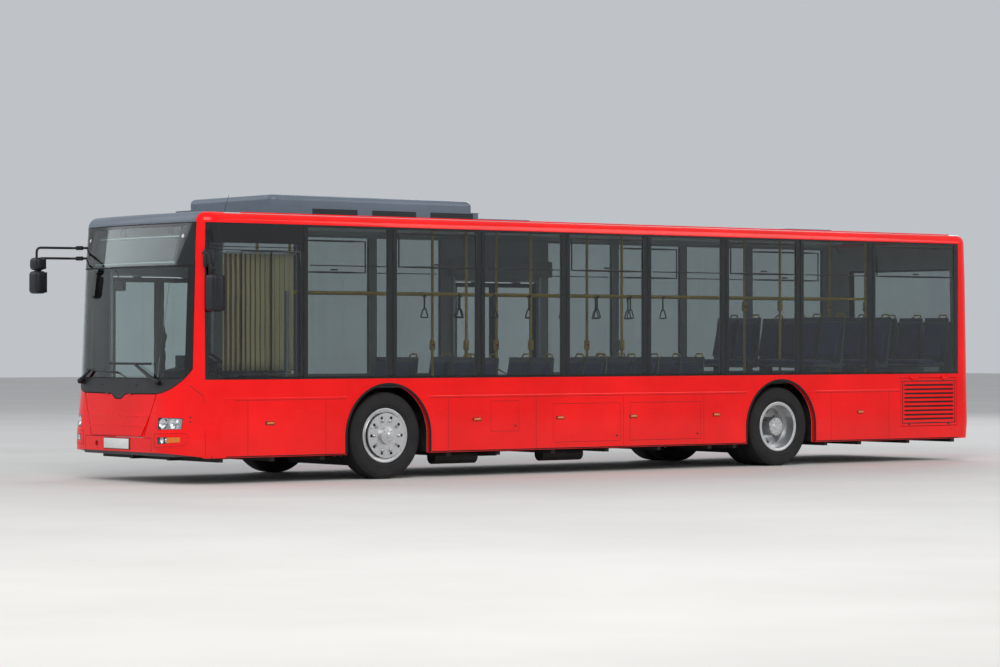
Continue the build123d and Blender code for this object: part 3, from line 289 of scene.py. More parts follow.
def face_patch(point, edges, rise, sink, across=24, up=6):
    """Thin plate on a skin between two lines, each a function of a share 0..1 that gives the skin's two places."""
    foot, head = edges
    grid = [[point(*(p + (q - p) * i / up for p, q in zip(foot(j / across), head(j / across))))
             for j in range(across + 1)] for i in range(up + 1)]
    bm = bmesh.new()
    top, low = ([[bm.verts.new(spot + normal * lift) for spot, normal in row] for row in grid]
                for lift in (rise, -sink))
    for i in range(up):
        for j in range(across):
            bm.faces.new((top[i][j], top[i][j + 1], top[i + 1][j + 1], top[i + 1][j]))
            bm.faces.new((low[i][j], low[i + 1][j], low[i + 1][j + 1], low[i][j + 1]))
    rim = ([(0, j) for j in range(across + 1)] + [(i, across) for i in range(1, up + 1)]
           + [(up, j) for j in range(across - 1, -1, -1)] + [(i, 0) for i in range(up - 1, 0, -1)])
    for (i, j), (k, m) in zip(rim, rim[1:] + rim[:1]):
        bm.faces.new((top[i][j], low[i][j], low[k][m], top[k][m]))
    return finish_mesh(bm, "patch", 40)


def line(a, b):
    """A straight line of a patch as a function of a share."""
    return lambda t: tuple(p + (q - p) * t for p, q in zip(a, b))


def rectangle(a0, a1, b0, b1):
    """Corners of a rectangle, foot first."""
    return [(a0, b0), (a1, b0), (a1, b1), (a0, b1)]


def front_quad(corners, rise, sink, across=16, up=6):
    """Plate on the front over (y, z) corners: foot start, foot end, head end, head start."""
    a, b, c, d = corners
    return face_patch(front_point, (line(a, b), line(d, c)), rise, sink, across, up)


# Point and outward normal on each side, from (x, z)
SIDE_POINT = {side: lambda x, z, side=side: side_point(side, x, z) for name, side in SIDES}


def front_plates(*plates):
    """Plates on the front, each given as its finish and the sizes of a quad."""
    return [(front_quad(*sizes), finish) for finish, *sizes in plates]


def side_quad(side, x0, x1, z0, z1, rise, sink, across=10, up=4):
    """Plate on a side between two lengthwise places and two heights."""
    return face_patch(SIDE_POINT[side], (line((x0, z0), (x1, z0)), line((x0, z1), (x1, z1))), rise, sink, across, up)


def skin_line(point, places, width, rise, sink=0.001, closed=False, spacing=0.06):
    """Strip on a skin through places, with the runs between them divided so that it follows the skin."""
    spots = []
    for a, b in zip(places, places[1:] + places[:1] if closed else places[1:]):
        count = max(1, int(math.dist(a, b) / spacing))
        spots += [point(*(p + (q - p) * k / count for p, q in zip(a, b))) for k in range(count)]
    if not closed:
        spots.append(point(*places[-1]))
    return strip([spot for spot, normal in spots], [normal for spot, normal in spots], width, rise, sink, closed)


def prism(outline, normal_axis, near, far, bevel=0.0):
    """Solid over a flat outline: (a, b) points across the two other axes, between two places on normal_axis."""
    bm = bmesh.new()
    order = {"X": lambda a, b, c: (c, a, b), "Y": lambda a, b, c: (a, c, b), "Z": lambda a, b, c: (a, b, c)}
    place = order[normal_axis]
    low = [bm.verts.new(place(a, b, near)) for a, b in outline]
    top = [bm.verts.new(place(a, b, far)) for a, b in outline]
    count = len(outline)
    bm.faces.new(low)
    bm.faces.new(top[::-1])
    for k in range(count):
        bm.faces.new((low[k], top[k], top[(k + 1) % count], low[(k + 1) % count]))
    if bevel:
        bmesh.ops.bevel(bm, geom=bm.edges[:], offset=bevel, segments=2, affect="EDGES", profile=0.5)
    return finish_mesh(bm, "prism")


def moved(mesh, matrix):
    """The mesh, placed by a matrix."""
    mesh.transform(matrix)
    if matrix.determinant() < 0:
        mesh.flip_normals()
    return mesh


def shifted(mesh, *spot):
    """The mesh, moved by a step."""
    return moved(mesh, Matrix.Translation(spot))


def leaning(spot, degrees):
    """Matrix that turns a mesh about Y and sets it at a place."""
    return Matrix.Translation(spot) @ Matrix.Rotation(math.radians(degrees), 4, "Y")


def mirrored(mesh):
    """A copy on the other side of the bus."""
    return moved(mesh.copy(), Matrix.Scale(-1, 4, Vector((0, 1, 0))))


def new_object(name, data):
    """An object that is linked to the scene."""
    thing = bpy.data.objects.new(name, data)
    bpy.context.scene.collection.objects.link(thing)
    return thing


def evaluated_mesh(holder):
    """The plain mesh that an object's modifiers give."""
    bpy.context.view_layer.update()
    graph = bpy.context.evaluated_depsgraph_get()
    return bpy.data.meshes.new_from_object(holder.evaluated_get(graph))


def join(name, parts, body, replaced=()):
    """One object from (mesh, finish) parts, riding on a body."""
    finishes = []
    bm = bmesh.new()
    for mesh, finish in parts:
        if finish not in finishes:
            finishes.append(finish)
        start = len(bm.faces)
        bm.from_mesh(mesh)
        bm.faces.ensure_lookup_table()
        for face in bm.faces[start:]:
            face.material_index = finishes.index(finish)
        bpy.data.meshes.remove(mesh)
    mesh = bpy.data.meshes.new(name)
    bm.to_mesh(mesh)
    bm.free()
    piece = new_object(name, mesh)
    for finish in finishes:
        mesh.materials.append(finish)
    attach(piece, body)
    if replaced:
        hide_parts(*replaced)
    return piece


# ---------------------------------------------------------------- repeats by Geometry Nodes


def maths(tree, operation, *values):
    """One Math node over sockets and numbers."""
    node = tree.nodes.new("ShaderNodeMath")
    node.operation = operation
    for socket, value in zip(node.inputs, values):
        if isinstance(value, float):
            socket.default_value = value
        else:
            tree.links.new(value, socket)
    return node.outputs[0]


def repeat_tree(name, on_circle):
    """A tree that sets copies of the incoming mesh along a line or round a circle."""
    tree = bpy.data.node_groups.new(name, "GeometryNodeTree")
    spread = ("Radius", "Float") if on_circle else ("Step", "Vector")
    for label, kind in (("Item", "Geometry"), ("Count", "Int"), spread, ("Finish", "Material")):
        tree.interface.new_socket(label, in_out="INPUT", socket_type=f"NodeSocket{kind}")
    tree.interface.new_socket("Result", in_out="OUTPUT", socket_type="NodeSocketGeometry")
    add, link = tree.nodes.new, tree.links.new
    given, out = add("NodeGroupInput"), add("NodeGroupOutput")
    place = add("GeometryNodeInstanceOnPoints")
    real, coat = add("GeometryNodeRealizeInstances"), add("GeometryNodeSetMaterial")
    if on_circle:
        guide = add("GeometryNodeMeshCircle")
        link(given.outputs["Count"], guide.inputs["Vertices"])
        link(given.outputs["Radius"], guide.inputs["Radius"])
        share = maths(tree, "DIVIDE", add("GeometryNodeInputIndex").outputs[0], given.outputs["Count"])
        spin = add("ShaderNodeCombineXYZ")
        link(maths(tree, "MULTIPLY", share, 2 * math.pi), spin.inputs["Z"])
        link(spin.outputs[0], place.inputs["Rotation"])
    else:
        guide = add("GeometryNodeMeshLine")
        link(given.outputs["Count"], guide.inputs["Count"])
        link(given.outputs["Step"], guide.inputs["Offset"])
    link(guide.outputs["Mesh"], place.inputs["Points"])
    link(given.outputs["Item"], place.inputs["Instance"])
    link(place.outputs["Instances"], real.inputs["Geometry"])
    link(real.outputs["Geometry"], coat.inputs["Geometry"])
    link(given.outputs["Finish"], coat.inputs["Material"])
    link(coat.outputs["Geometry"], out.inputs["Result"])
    return tree


RING_TREE = repeat_tree("copies round a circle", True)
ROW_TREE = repeat_tree("copies along a line", False)


def repeated(item, tree, finish, **sizes):
    """Runs a repeat tree on a mesh and gives the plain result."""
    holder = new_object("repeat", item)
    modifier = holder.modifiers.new("repeat", "NODES")
    modifier.node_group = tree
    keys = {i.name: i.identifier for i in tree.interface.items_tree if i.in_out == "INPUT"}
    for name, value in {**sizes, "Finish": finish}.items():
        modifier[keys[name]] = value
    result = evaluated_mesh(holder)
    holder.modifiers.remove(modifier)
    bpy.data.objects.remove(holder)
    return result


def ring_of(item, count, radius, finish):
    """Copies of a mesh round the Z axis."""
    return repeated(item, RING_TREE, finish, Count=count, Radius=radius)


def row_of(item, count, step, finish):
    """Copies of a mesh along a line."""
    return repeated(item, ROW_TREE, finish, Count=count, Step=step)


# ---------------------------------------------------------------- finishes


def new_finish(name, colour, roughness, metallic=0.0, **sockets):
    """A material with its shader and an Object-coordinate mapping."""
    mat = bpy.data.materials.new(name)
    mat.use_nodes = True
    tree = mat.node_tree
    shader = tree.nodes["Principled BSDF"]
    shader.inputs["Base Color"].default_value = (*colour, 1)
    shader.inputs["Roughness"].default_value = roughness
    shader.inputs["Metallic"].default_value = metallic
    for key, value in sockets.items():
        shader.inputs[key.replace("_", " ")].default_value = value
    coords = tree.nodes.new("ShaderNodeTexCoord")
    mapping = tree.nodes.new("ShaderNodeMapping")
    tree.links.new(coords.outputs["Object"], mapping.inputs["Vector"])
    return mat, tree, shader, mapping


def grain(tree, mapping, scale, detail=4.0, rough=0.6):
    """A noise pattern on the mapped coordinates."""
    noise = tree.nodes.new("ShaderNodeTexNoise")
    for key, value in (("Scale", scale), ("Detail", detail), ("Roughness", rough)):
        noise.inputs[key].default_value = value
    tree.links.new(mapping.outputs["Vector"], noise.inputs["Vector"])
    return noise.outputs["Fac"]


def cells(tree, mapping, scale):
    """Distance from the middle of each cell of a cellular pattern."""
    node = tree.nodes.new("ShaderNodeTexVoronoi")
    node.inputs["Scale"].default_value = scale
    tree.links.new(mapping.outputs["Vector"], node.inputs["Vector"])
    return node.outputs["Distance"]


def shade(colour, share, added=0.0):
    """A colour made darker or lighter by a share, with a little white added."""
    return tuple(min(c * share + added, 1) for c in colour)


def ramp(tree, source, stops):
    """Colours along a 0..1 value."""
    node = tree.nodes.new("ShaderNodeValToRGB")
    elements = node.color_ramp.elements
    while len(elements) < len(stops):
        elements.new(0.5)
    for element, (place, colour) in zip(elements, stops):
        element.position = place
        element.color = (*colour, 1) if isinstance(colour, tuple) else (colour, colour, colour, 1)
    tree.links.new(source, node.inputs["Fac"])
    return node.outputs["Color"]


def vary(tree, shader, key, source, stops):
    """Lets a pattern drive one socket of the shader through a ramp."""
    tree.links.new(ramp(tree, source, stops), shader.inputs[key])


def bump(tree, shader, height, strength, distance):
    """Relief from a height value."""
    node = tree.nodes.new("ShaderNodeBump")
    node.inputs["Strength"].default_value = strength
    node.inputs["Distance"].default_value = distance
    tree.links.new(height, node.inputs["Height"])
    tree.links.new(node.outputs["Normal"], shader.inputs["Normal"])


def blend_colour(tree, factor, low, high, mode="MIX"):
    """Mixes two colours, each a socket or a tuple, by a value."""
    node = tree.nodes.new("ShaderNodeMix")
    node.data_type, node.blend_type = "RGBA", mode
    tree.links.new(factor, node.inputs["Factor"])
    for key, value in (("A", low), ("B", high)):
        socket = [s for s in node.inputs if s.name == key and s.type == "RGBA"][0]
        if isinstance(value, tuple):
            socket.default_value = (*value, 1)
        else:
            tree.links.new(value, socket)
    return [s for s in node.outputs if s.type == "RGBA"][0]


def axis_value(tree, mapping, axis):
    """One coordinate of the mapped place."""
    split = tree.nodes.new("ShaderNodeSeparateXYZ")
    tree.links.new(mapping.outputs["Vector"], split.inputs[0])
    return split.outputs[axis]


def step_value(tree, source, low, high):
    """0 at low, 1 at high and past it."""
    node = tree.nodes.new("ShaderNodeMapRange")
    node.inputs["From Min"].default_value = low
    node.inputs["From Max"].default_value = high
    tree.links.new(source, node.inputs["Value"])
    return node.outputs[0]


def coach_paint(name, colour, insides=(), gloss=0.35, coat_roughness=0.04):
    """Gloss coach paint with a faint tone change, orange peel and road film low down; each inside is a colour and the
    (axis, from, to) ranges where it takes over.
    """
    mat, tree, shader, mapping = new_finish(
        name, colour, 0.3, Coat_Weight=gloss, Coat_Roughness=coat_roughness, Specular_IOR_Level=0.12)
    tone = ramp(tree, grain(tree, mapping, 1.3, 3), ((0.35, shade(colour, 0.90)), (0.7, shade(colour, 1.05, 0.002))))
    low_down = step_value(tree, axis_value(tree, mapping, "Z"), 0.95, 0.15)
    film = maths(tree, "MULTIPLY", low_down, grain(tree, mapping, 2.2, 8, 0.65))
    film_tone = ramp(tree, film, ((0.0, 0.0), (0.25, 0.02), (0.8, 0.30)))
    coat = blend_colour(tree, film_tone, tone, shade(colour, 0.5, 0.025))
    for hidden, *limits in insides:
        factor = None
        for axis, low, high in limits:
            place = axis_value(tree, mapping, axis)
            if axis == "Y":
                place = maths(tree, "ABSOLUTE", place)
            value = step_value(tree, place, low, high)
            factor = maths(tree, "MULTIPLY", factor, value) if factor else value
        coat = blend_colour(tree, factor, coat, hidden)
    tree.links.new(coat, shader.inputs["Base Color"])
    vary(tree, shader, "Roughness", film, ((0.0, 0.24), (1.0, 0.5)))
    bump(tree, shader, grain(tree, mapping, 160, 2), 0.04, 0.001)
    return mat


def moulded(name, colour, roughness=0.55, scale=420, relief=0.25, spread=0.25, gloss=0.5):
    """Grained plastic, rubber or painted steel: fine relief, uneven tone and sheen."""
    mat, tree, shader, mapping = new_finish(name, colour, roughness, Specular_IOR_Level=gloss)
    broad = grain(tree, mapping, 6, 5)
    tones = ((0.3, shade(colour, 1 - spread)), (0.75, shade(colour, 1 + spread, 0.001)))
    vary(tree, shader, "Base Color", broad, tones)
    vary(tree, shader, "Roughness", broad, ((0.25, max(roughness - 0.09, 0.03)), (0.8, min(roughness + 0.1, 1))))
    bump(tree, shader, grain(tree, mapping, scale, 3), relief, 0.0006)
    return mat


def glazing(name, tint):
    """Tinted glass with a faint change of tone and gloss."""
    mat, tree, shader, mapping = new_finish(name, tint, 0.0, Transmission_Weight=1.0, IOR=1.45)
    vary(tree, shader, "Base Color", grain(tree, mapping, 1.6, 2), ((0.3, shade(tint, 0.93)), (0.8, tint)))
    vary(tree, shader, "Roughness", grain(tree, mapping, 3, 3), ((0.35, 0.0), (0.9, 0.004)))
    return mat


def metal(name, colour, roughness, brushed=(1, 1, 1), spread=0.15):
    """Bare or plated metal with fine streaks."""
    mat, tree, shader, mapping = new_finish(name, colour, roughness, 1.0)
    mapping.inputs["Scale"].default_value = brushed
    streak = grain(tree, mapping, 40, 5)
    vary(tree, shader, "Base Color", streak, ((0.3, shade(colour, 1 - spread)), (0.7, colour)))
    vary(tree, shader, "Roughness", streak, ((0.2, roughness * 0.7), (0.9, min(roughness * 1.5, 1))))
    bump(tree, shader, streak, 0.06, 0.0005)
    return mat


def yarn_over(tree, shader, mapping, pattern, scale, detail, gap, strength, relief):
    """Darkens a cloth's pattern between its yarns and raises them."""
    yarn = grain(tree, mapping, scale, detail)
    threads = ramp(tree, yarn, ((0.3, gap), (0.7, 1.0)))
    tree.links.new(blend_colour(tree, yarn, pattern, threads, "MULTIPLY"), shader.inputs["Base Color"])
    bump(tree, shader, yarn, strength, relief)


def plush(name, colour, fleck):
    """Seat plush: a small woven check with coloured flecks and a soft sheen."""
    mat, tree, shader, mapping = new_finish(name, colour, 0.92, Sheen_Weight=0.4, Sheen_Roughness=0.5)
    flecks = ramp(tree, cells(tree, mapping, 26), ((0.10, fleck), (0.16, colour)))
    yarn_over(tree, shader, mapping, flecks, 700, 3, 0.55, 0.5, 0.0012)
    return mat


def striped_cloth(name, ground, band, pitch):
    """Plain woven cloth with upright stripes and a visible yarn."""
    mat, tree, shader, mapping = new_finish(name, ground, 0.85, Sheen_Weight=0.25)
    wave = maths(tree, "SINE", maths(tree, "MULTIPLY", axis_value(tree, mapping, "X"), 2 * math.pi / pitch))
    stripes = blend_colour(tree, step_value(tree, wave, 0.25, 0.4), ground, band)
    yarn_over(tree, shader, mapping, stripes, 900, 2, 0.7, 0.4, 0.0008)
    return mat


def speckled_floor(name):
    """Safety floor sheet with grit."""
    mat, tree, shader, mapping = new_finish(name, (0.16, 0.17, 0.19), 0.6)
    grit = cells(tree, mapping, 220)
    vary(tree, shader, "Base Color", grit, ((0.12, (0.45, 0.47, 0.5)), (0.2, (0.12, 0.13, 0.15))))
    bump(tree, shader, grit, 0.3, 0.0008)
    return mat


def pressed_lens(name, colour, scale):
    """Coloured lamp plastic with pressed optics."""
    mat, tree, shader, mapping = new_finish(name, colour, 0.08, Coat_Weight=0.4, Transmission_Weight=0.12)
    optics = cells(tree, mapping, scale)
    vary(tree, shader, "Base Color", optics, ((0.0, shade(colour, 1.25, 0.03)), (0.7, shade(colour, 0.7))))
    bump(tree, shader, optics, 0.35, 0.002)
    return mat


RED = (0.90, 0.0035, 0.0035)
GREY_BLUE = (0.13, 0.16, 0.20)
LINING = (0.42, 0.43, 0.44)
DARK = (0.012, 0.012, 0.014)
red_paint = coach_paint("red coach paint", RED, [(DARK, ("Y", 1.19, 1.1899), ("X", 5.50, 5.499))])
red_side = coach_paint("red coach paint, sides", RED, [
    (DARK, ("Y", 1.2465, 1.2455), ("Z", 1.1055, 1.1065), ("Z", 2.7655, 2.7645), ("X", 5.5005, 5.4995)),
    (LINING, ("Y", 1.1945, 1.1935), ("X", 5.26, 5.25)),
    (DARK, ("Y", 1.161, 1.159), ("X", 5.25, 5.26), ("Z", 2.80, 2.79)),
])
red_plain = coach_paint("red coach paint, rear", RED, [
    (DARK, ("Y", 0.953, 0.9525), ("Z", 1.7175, 1.7180), ("Z", 2.4830, 2.4825)),
])
roof_paint = coach_paint("grey roof paint", GREY_BLUE, gloss=0.2, coat_roughness=0.25)
roof_lined = coach_paint("grey roof paint, pale ceiling", GREY_BLUE, [(LINING, ("Z", 2.83, 2.824))], 0.2, 0.25)
black_gloss = moulded("black enamel edge", (0.008, 0.008, 0.009), 0.12, 60, 0.02, 0.1)
black_frame = moulded("satin black frame", (0.014, 0.014, 0.015), 0.42, 300, 0.12, gloss=0.25)
rubber = moulded("black seal rubber", (0.011, 0.011, 0.012), 0.62, 500, 0.2, gloss=0.2)
tread_rubber = moulded("tyre rubber", (0.019, 0.019, 0.020), 0.72, 260, 0.35, 0.3, gloss=0.2)
dark_plastic = moulded("grained dark plastic", (0.022, 0.023, 0.026), 0.5, 380, 0.35, gloss=0.3)
cowl_plastic = moulded("cowl plastic", (0.030, 0.030, 0.033), 0.52, 500, 0.3, gloss=0.3)
grey_plastic = moulded("grained grey plastic", (0.34, 0.35, 0.36), 0.5, 400, 0.25, 0.1)
pale_trim = moulded("pale lining board", (0.55, 0.55, 0.54), 0.6, 200, 0.15, 0.06)
chassis_black = moulded("chassis enamel with dust", (0.024, 0.023, 0.022), 0.58, 90, 0.3, 0.5, gloss=0.25)
cast_grey = moulded("cast iron, painted", (0.09, 0.088, 0.085), 0.6, 120, 0.45, 0.35)
rim_silver = metal("silver wheel enamel", (0.62, 0.63, 0.64), 0.34)
bright = metal("plated reflector", (0.92, 0.93, 0.94), 0.07, spread=0.03)
steel = metal("bare steel", (0.55, 0.55, 0.56), 0.3, (1, 1, 12))
aluminium = metal("anodised aluminium", (0.66, 0.67, 0.68), 0.3, (1, 14, 1))
mirror_face = metal("mirror glass", (0.88, 0.90, 0.92), 0.02, spread=0.01)
windscreen_glass = glazing("windscreen glass", (0.66, 0.76, 0.75))
side_glass = glazing("tinted side glass", (0.50, 0.55, 0.55))
door_glass_finish = glazing("door glass", (0.55, 0.60, 0.60))
lamp_glass = glazing("clear lamp cover", (0.97, 0.98, 1.0))
amber_lens = pressed_lens("amber lamp plastic", (1.0, 0.21, 0.002), 160)
red_lens = pressed_lens("red lamp plastic", (0.62, 0.008, 0.012), 180)
white_lens = pressed_lens("white lamp plastic", (0.80, 0.82, 0.84), 180)
seat_plush = plush("blue seat plush", (0.045, 0.075, 0.22), (0.62, 0.10, 0.08))
blind_cloth = striped_cloth("striped blind cloth", (0.86, 0.74, 0.40), (0.20, 0.10, 0.045), 0.062)
driver_plush = plush("dark seat plush", (0.05, 0.052, 0.06), (0.16, 0.17, 0.20))
rail_yellow = moulded("yellow rail enamel", (0.80, 0.52, 0.03), 0.34, 200, 0.05, 0.06)
floor_sheet = speckled_floor("speckled floor sheet")
plate_white = moulded("blank plate enamel", (0.66, 0.67, 0.66), 0.35, 300, 0.05, 0.04)
seat_shell = moulded("seat shell, moulded", (0.10, 0.11, 0.125), 0.42, 300, 0.12, 0.1)
light_panel = moulded("ceiling light panel", (0.86, 0.87, 0.86), 0.3, 60, 0.02, 0.03)
red_button = moulded("red push button", (0.65, 0.02, 0.02), 0.3, 100, 0.03, 0.05)
copper_pipe = metal("plated brake pipe", (0.55, 0.42, 0.30), 0.32)
screen_dark = moulded("dark display glass", (0.006, 0.007, 0.009), 0.1, 40, 0.02)
door_black = moulded("door frame enamel", (0.012, 0.012, 0.013), 0.35, 200, 0.06, gloss=0.3)
# Near-black for open panel joints, and painted shade: dark sheets standing for the shade in the engine louvres, the
# roof fans and inside the roof pod
joint_and_shade_black = moulded("open joints and painted shade", (0.006, 0.005, 0.005), 0.8, 200, 0.02)
frit_black = moulded("black glass edge", (0.006, 0.0065, 0.007), 0.06, 30, 0.01)
wiper_black = moulded("satin black enamel", (0.008, 0.008, 0.009), 0.35, 200, 0.08, gloss=0.3)
mirror_black = moulded("grained mirror housing", (0.012, 0.013, 0.017), 0.45, 420, 0.3, gloss=0.28)


def set_of_four(stem, ends, others):
    """Names of four like nodes."""
    return tuple(f"{stem}_{end}_{other}" for end in ends for other in others)


WHEEL_PLACES = (("front", "rear"), ("left", "right"))
LEAF_PLACES = (("front", "mid"), ("a", "b"))
NODE_FINISH = {
    red_paint: ("front_mask", "front_bumper", "front_flap", "front_pillars", "radiator_flap"),
    red_plain: ("rear_panel", "engine_flap"),
    red_side: ("side_wall_left", "side_wall_right"),
    roof_paint: ("front_dome", "hatch_front", "hatch_rear", "roof_pod"),
    roof_lined: ("roof_panel",),
    black_frame: ("screen_frame",),
    windscreen_glass: ("windscreen",),
    side_glass: ("windows",),
    grey_plastic: ("door_headers", "cab_partition"),
    floor_sheet: ("floor_deck", "rear_platform"),
    chassis_black: ("wheel_housings", "underframe", "front_axle", "rear_axle", "knuckle_left", "knuckle_right",
                    "air_parts"),
    cast_grey: ("engine_block",),
    dark_plastic: ("dashboard", "steering_wheel", "destination_sign", "mirrors", "wipers"),
    rail_yellow: ("handrails",),
    seat_plush: ("passenger_seats",),
    driver_plush: ("driver_seat",),
    lamp_glass: ("front_lamps",),
    red_lens: ("tail_lamps",),
    rim_silver: set_of_four("rim", *WHEEL_PLACES),
    tread_rubber: set_of_four("tyre", *WHEEL_PLACES),
    door_black: set_of_four("door_leaf", *LEAF_PLACES),
    steel: set_of_four("door_post", *LEAF_PLACES),
    door_glass_finish: set_of_four("door_glass", *LEAF_PLACES),
}
for finish, names in NODE_FINISH.items():
    for name in names:
        materials = nodes[name].data.materials
        if not materials:
            materials.append(finish)
        for index in range(len(materials)):
            materials[index] = finish


# ---------------------------------------------------------------- floor, light and camera


def studio():
    """Pale floor, soft light and the photograph's viewing angle."""
    mat, tree, shader, mapping = new_finish("pale studio floor", (0.62, 0.61, 0.59), 0.75)
    tones = ((0.3, (0.58, 0.57, 0.55)), (0.7, (0.64, 0.63, 0.61)))
    vary(tree, shader, "Base Color", grain(tree, mapping, 0.35, 3), tones)
    bm = bmesh.new()
    bmesh.ops.create_grid(bm, x_segments=2, y_segments=2, size=90)
    mesh = bpy.data.meshes.new("floor")
    bm.to_mesh(mesh)
    bm.free()
    mesh.materials.append(mat)
    new_object("studio_floor", mesh)

    scene = bpy.context.scene
    world = scene.world = bpy.data.worlds.new("studio")
    world.use_nodes = True
    sky = world.node_tree.nodes["Background"]
    sky.inputs["Color"].default_value = (0.84, 0.88, 0.93, 1)
    sky.inputs["Strength"].default_value = 0.62
    scene.view_settings.view_transform = "Standard"
    for spot, size, power, tint in (
        ((16, 16, 16), 14, 3400, (1.0, 0.97, 0.93)), ((22, -21, 20), 25, 2700, (0.93, 0.97, 1.0)),
        ((-16, 18, 12), 12, 1500, (1.0, 0.98, 0.95)), ((-18, -14, 14), 14, 1300, (0.95, 0.97, 1.0)),
    ):
        lamp = bpy.data.lights.new("softbox", "AREA")
        lamp.shape, lamp.size, lamp.energy, lamp.color = "SQUARE", size, power, tint
        holder = new_object("softbox", lamp)
        holder.location = spot
        holder.rotation_euler = (Vector((0, 0, 1.2)) - Vector(spot)).to_track_quat("-Z", "Y").to_euler()

    camera = bpy.data.cameras.new("view")
    camera.lens, camera.sensor_width = 108, 36
    camera.clip_end = 400
    holder = scene.camera = new_object("view", camera)
    holder.location = (22.3645, 27.9908, 1.4831)
    pan, tilt = math.radians(-127.8), math.radians(0.2)
    aim = Vector((math.cos(pan) * math.cos(tilt), math.sin(pan) * math.cos(tilt), math.sin(tilt)))
    holder.rotation_euler = aim.to_track_quat("-Z", "Y").to_euler()


# ---------------------------------------------------------------- wheels

TYRE_SECTION = (  # half of a tyre's outline, as (radius, distance from its middle)
    (0.2862, 0.106), (0.296, 0.114), (0.312, 0.119), (0.330, 0.127), (0.343, 0.1315), (0.346, 0.1345), (0.352, 0.1325),
    (0.374, 0.1370), (0.402, 0.1376), (0.424, 0.1345), (0.427, 0.1365), (0.434, 0.1350), (0.446, 0.1265),
    (0.456, 0.1215), (0.4655, 0.1165), (0.4695, 0.108),
)
TREAD_RIBS = ((-0.088, 0.034), (-0.044, 0.034), (0.0, 0.036), (0.044, 0.034), (0.088, 0.034))  # middle, width
TREAD_PITCHES, TREAD_RADIUS = 66, 0.4670
WHEEL_NUTS, NUT_CIRCLE = 10, 0.1675
WHEELS = (("front", FRONT_AXLE_X, (1.060,)), ("rear", REAR_AXLE_X, (1.070, 0.764)))  # end, X, each tyre's |Y|
RIM_FLANGE = (  # turned outline of a rim's edge, as (radius, distance from the tyre's middle)
    (0.2845, 0.1005), (0.2905, 0.1055), (0.2985, 0.1120), (0.3010, 0.1170), (0.2990, 0.1200),
    (0.2920, 0.1215), (0.2830, 0.1195), (0.2640, 0.1175), (0.2640, 0.1150), (0.2800, 0.1120),
)
HUBS = {  # the disc's face from the tyre's middle, the turned hub end, and its small bolts
    "front": {
        "face": 0.146, "seat": 0.0345, "bolts": 8, "circle": 0.068,
        "bolt": ((0.006, 0.006), (0.008, 0.004), (0.008, 0)),
        "shape": ((0, 0.0385), (0.030, 0.0385), (0.034, 0.0365), (0.034, 0.0362), (0.080, 0.0362), (0.0945, 0.031),
                  (0.0945, 0.0), (0, 0.0)),
    },
    "rear": {
        "face": -0.146, "seat": 0.2305, "bolts": 10, "circle": 0.084,
        "bolt": ((0.008, 0.010), (0.010, 0.007), (0.010, 0)),
        "shape": ((0, 0.237), (0.036, 0.237), (0.042, 0.231), (0.098, 0.231), (0.1065, 0.222), (0.1065, 0.150),
                  (0.1125, 0.140), (0.1125, 0.020), (0.122, 0.008), (0.150, 0.004), (0.150, 0.0), (0, 0.0)),
    },
}


def tread_pitch():
    """One pitch of tread: a block on each rib with a sipe, radial along +X and the axle along Z."""
    bm = bmesh.new()
    for n, (middle, width) in enumerate(TREAD_RIBS):
        slant = 0.006 * (-1) ** n
        for start, end in ((-0.0215, -0.0015), (0.0, 0.0195)):
            shoulder = 0.0105 if abs(middle) < 0.08 else 0.0085
            spots = []
            for r, pinch in ((-0.005, 0.0), (shoulder, 0.0012)):
                for u, v in ((-0.5, start), (0.5, start), (0.5, end), (-0.5, end)):
                    lean = slant * u * 2
                    edge = pinch if v == start else -pinch
                    spots.append(bm.verts.new((r, v + lean + edge, middle + u * (width - 2 * pinch))))
            for a, b, c, d in ((0, 1, 2, 3), (4, 7, 6, 5), (0, 4, 5, 1), (1, 5, 6, 2), (2, 6, 7, 3), (3, 7, 4, 0)):
                bm.faces.new((spots[a], spots[b], spots[c], spots[d]))
    return finish_mesh(bm, "pitch", 20)


def axle_turn(x, y, side):
    """Matrix from a wheel's own frame, axle along +Z and outboard, to its place."""
    return Matrix(((1, 0, 0, x), (0, 0, side, side * y), (0, 1, 0, WHEEL_Z), (0, 0, 0, 1)))


def tyre(side_name, side, end, x, planes):
    """Road tyre with shoulders, rim ribs and a block tread, one or two on a hub."""
    outline = [(r, -u) for r, u in TYRE_SECTION] + [(0.4700, -0.05), (0.4700, 0.05)] + list(reversed(TYRE_SECTION))
    outline += [(0.2862, 0.09), (0.2862, -0.09)]
    parts = []
    for y in planes:
        parts.append((lathe(outline, (x, side * y, WHEEL_Z), "Y", 120), tread_rubber))
        blocks = ring_of(tread_pitch(), TREAD_PITCHES, TREAD_RADIUS, tread_rubber)
        parts.append((moved(blocks, axle_turn(x, y, side)), tread_rubber))
    join(f"road_tyre_{end}_{side_name}", parts, f"wheel_{end}_{side_name}", (f"tyre_{end}_{side_name}",))


def wheel_nut():
    """Hexagonal nut with a chamfered top, a washer and the stud's end, along +Z."""
    bm = bmesh.new()
    for rim, steps in (
        ([(0.0125, 0.020), (0.0160, 0.017), (0.0160, 0.0)], 6), ([(0.021, 0.004), (0.0225, 0.0)], 18),
        ([(0.0075, 0.031), (0.009, 0.029), (0.009, 0.018)], 12),
    ):
        bm.from_mesh(knob(rim, steps=steps))
    return finish_mesh(bm, "nut", 30)


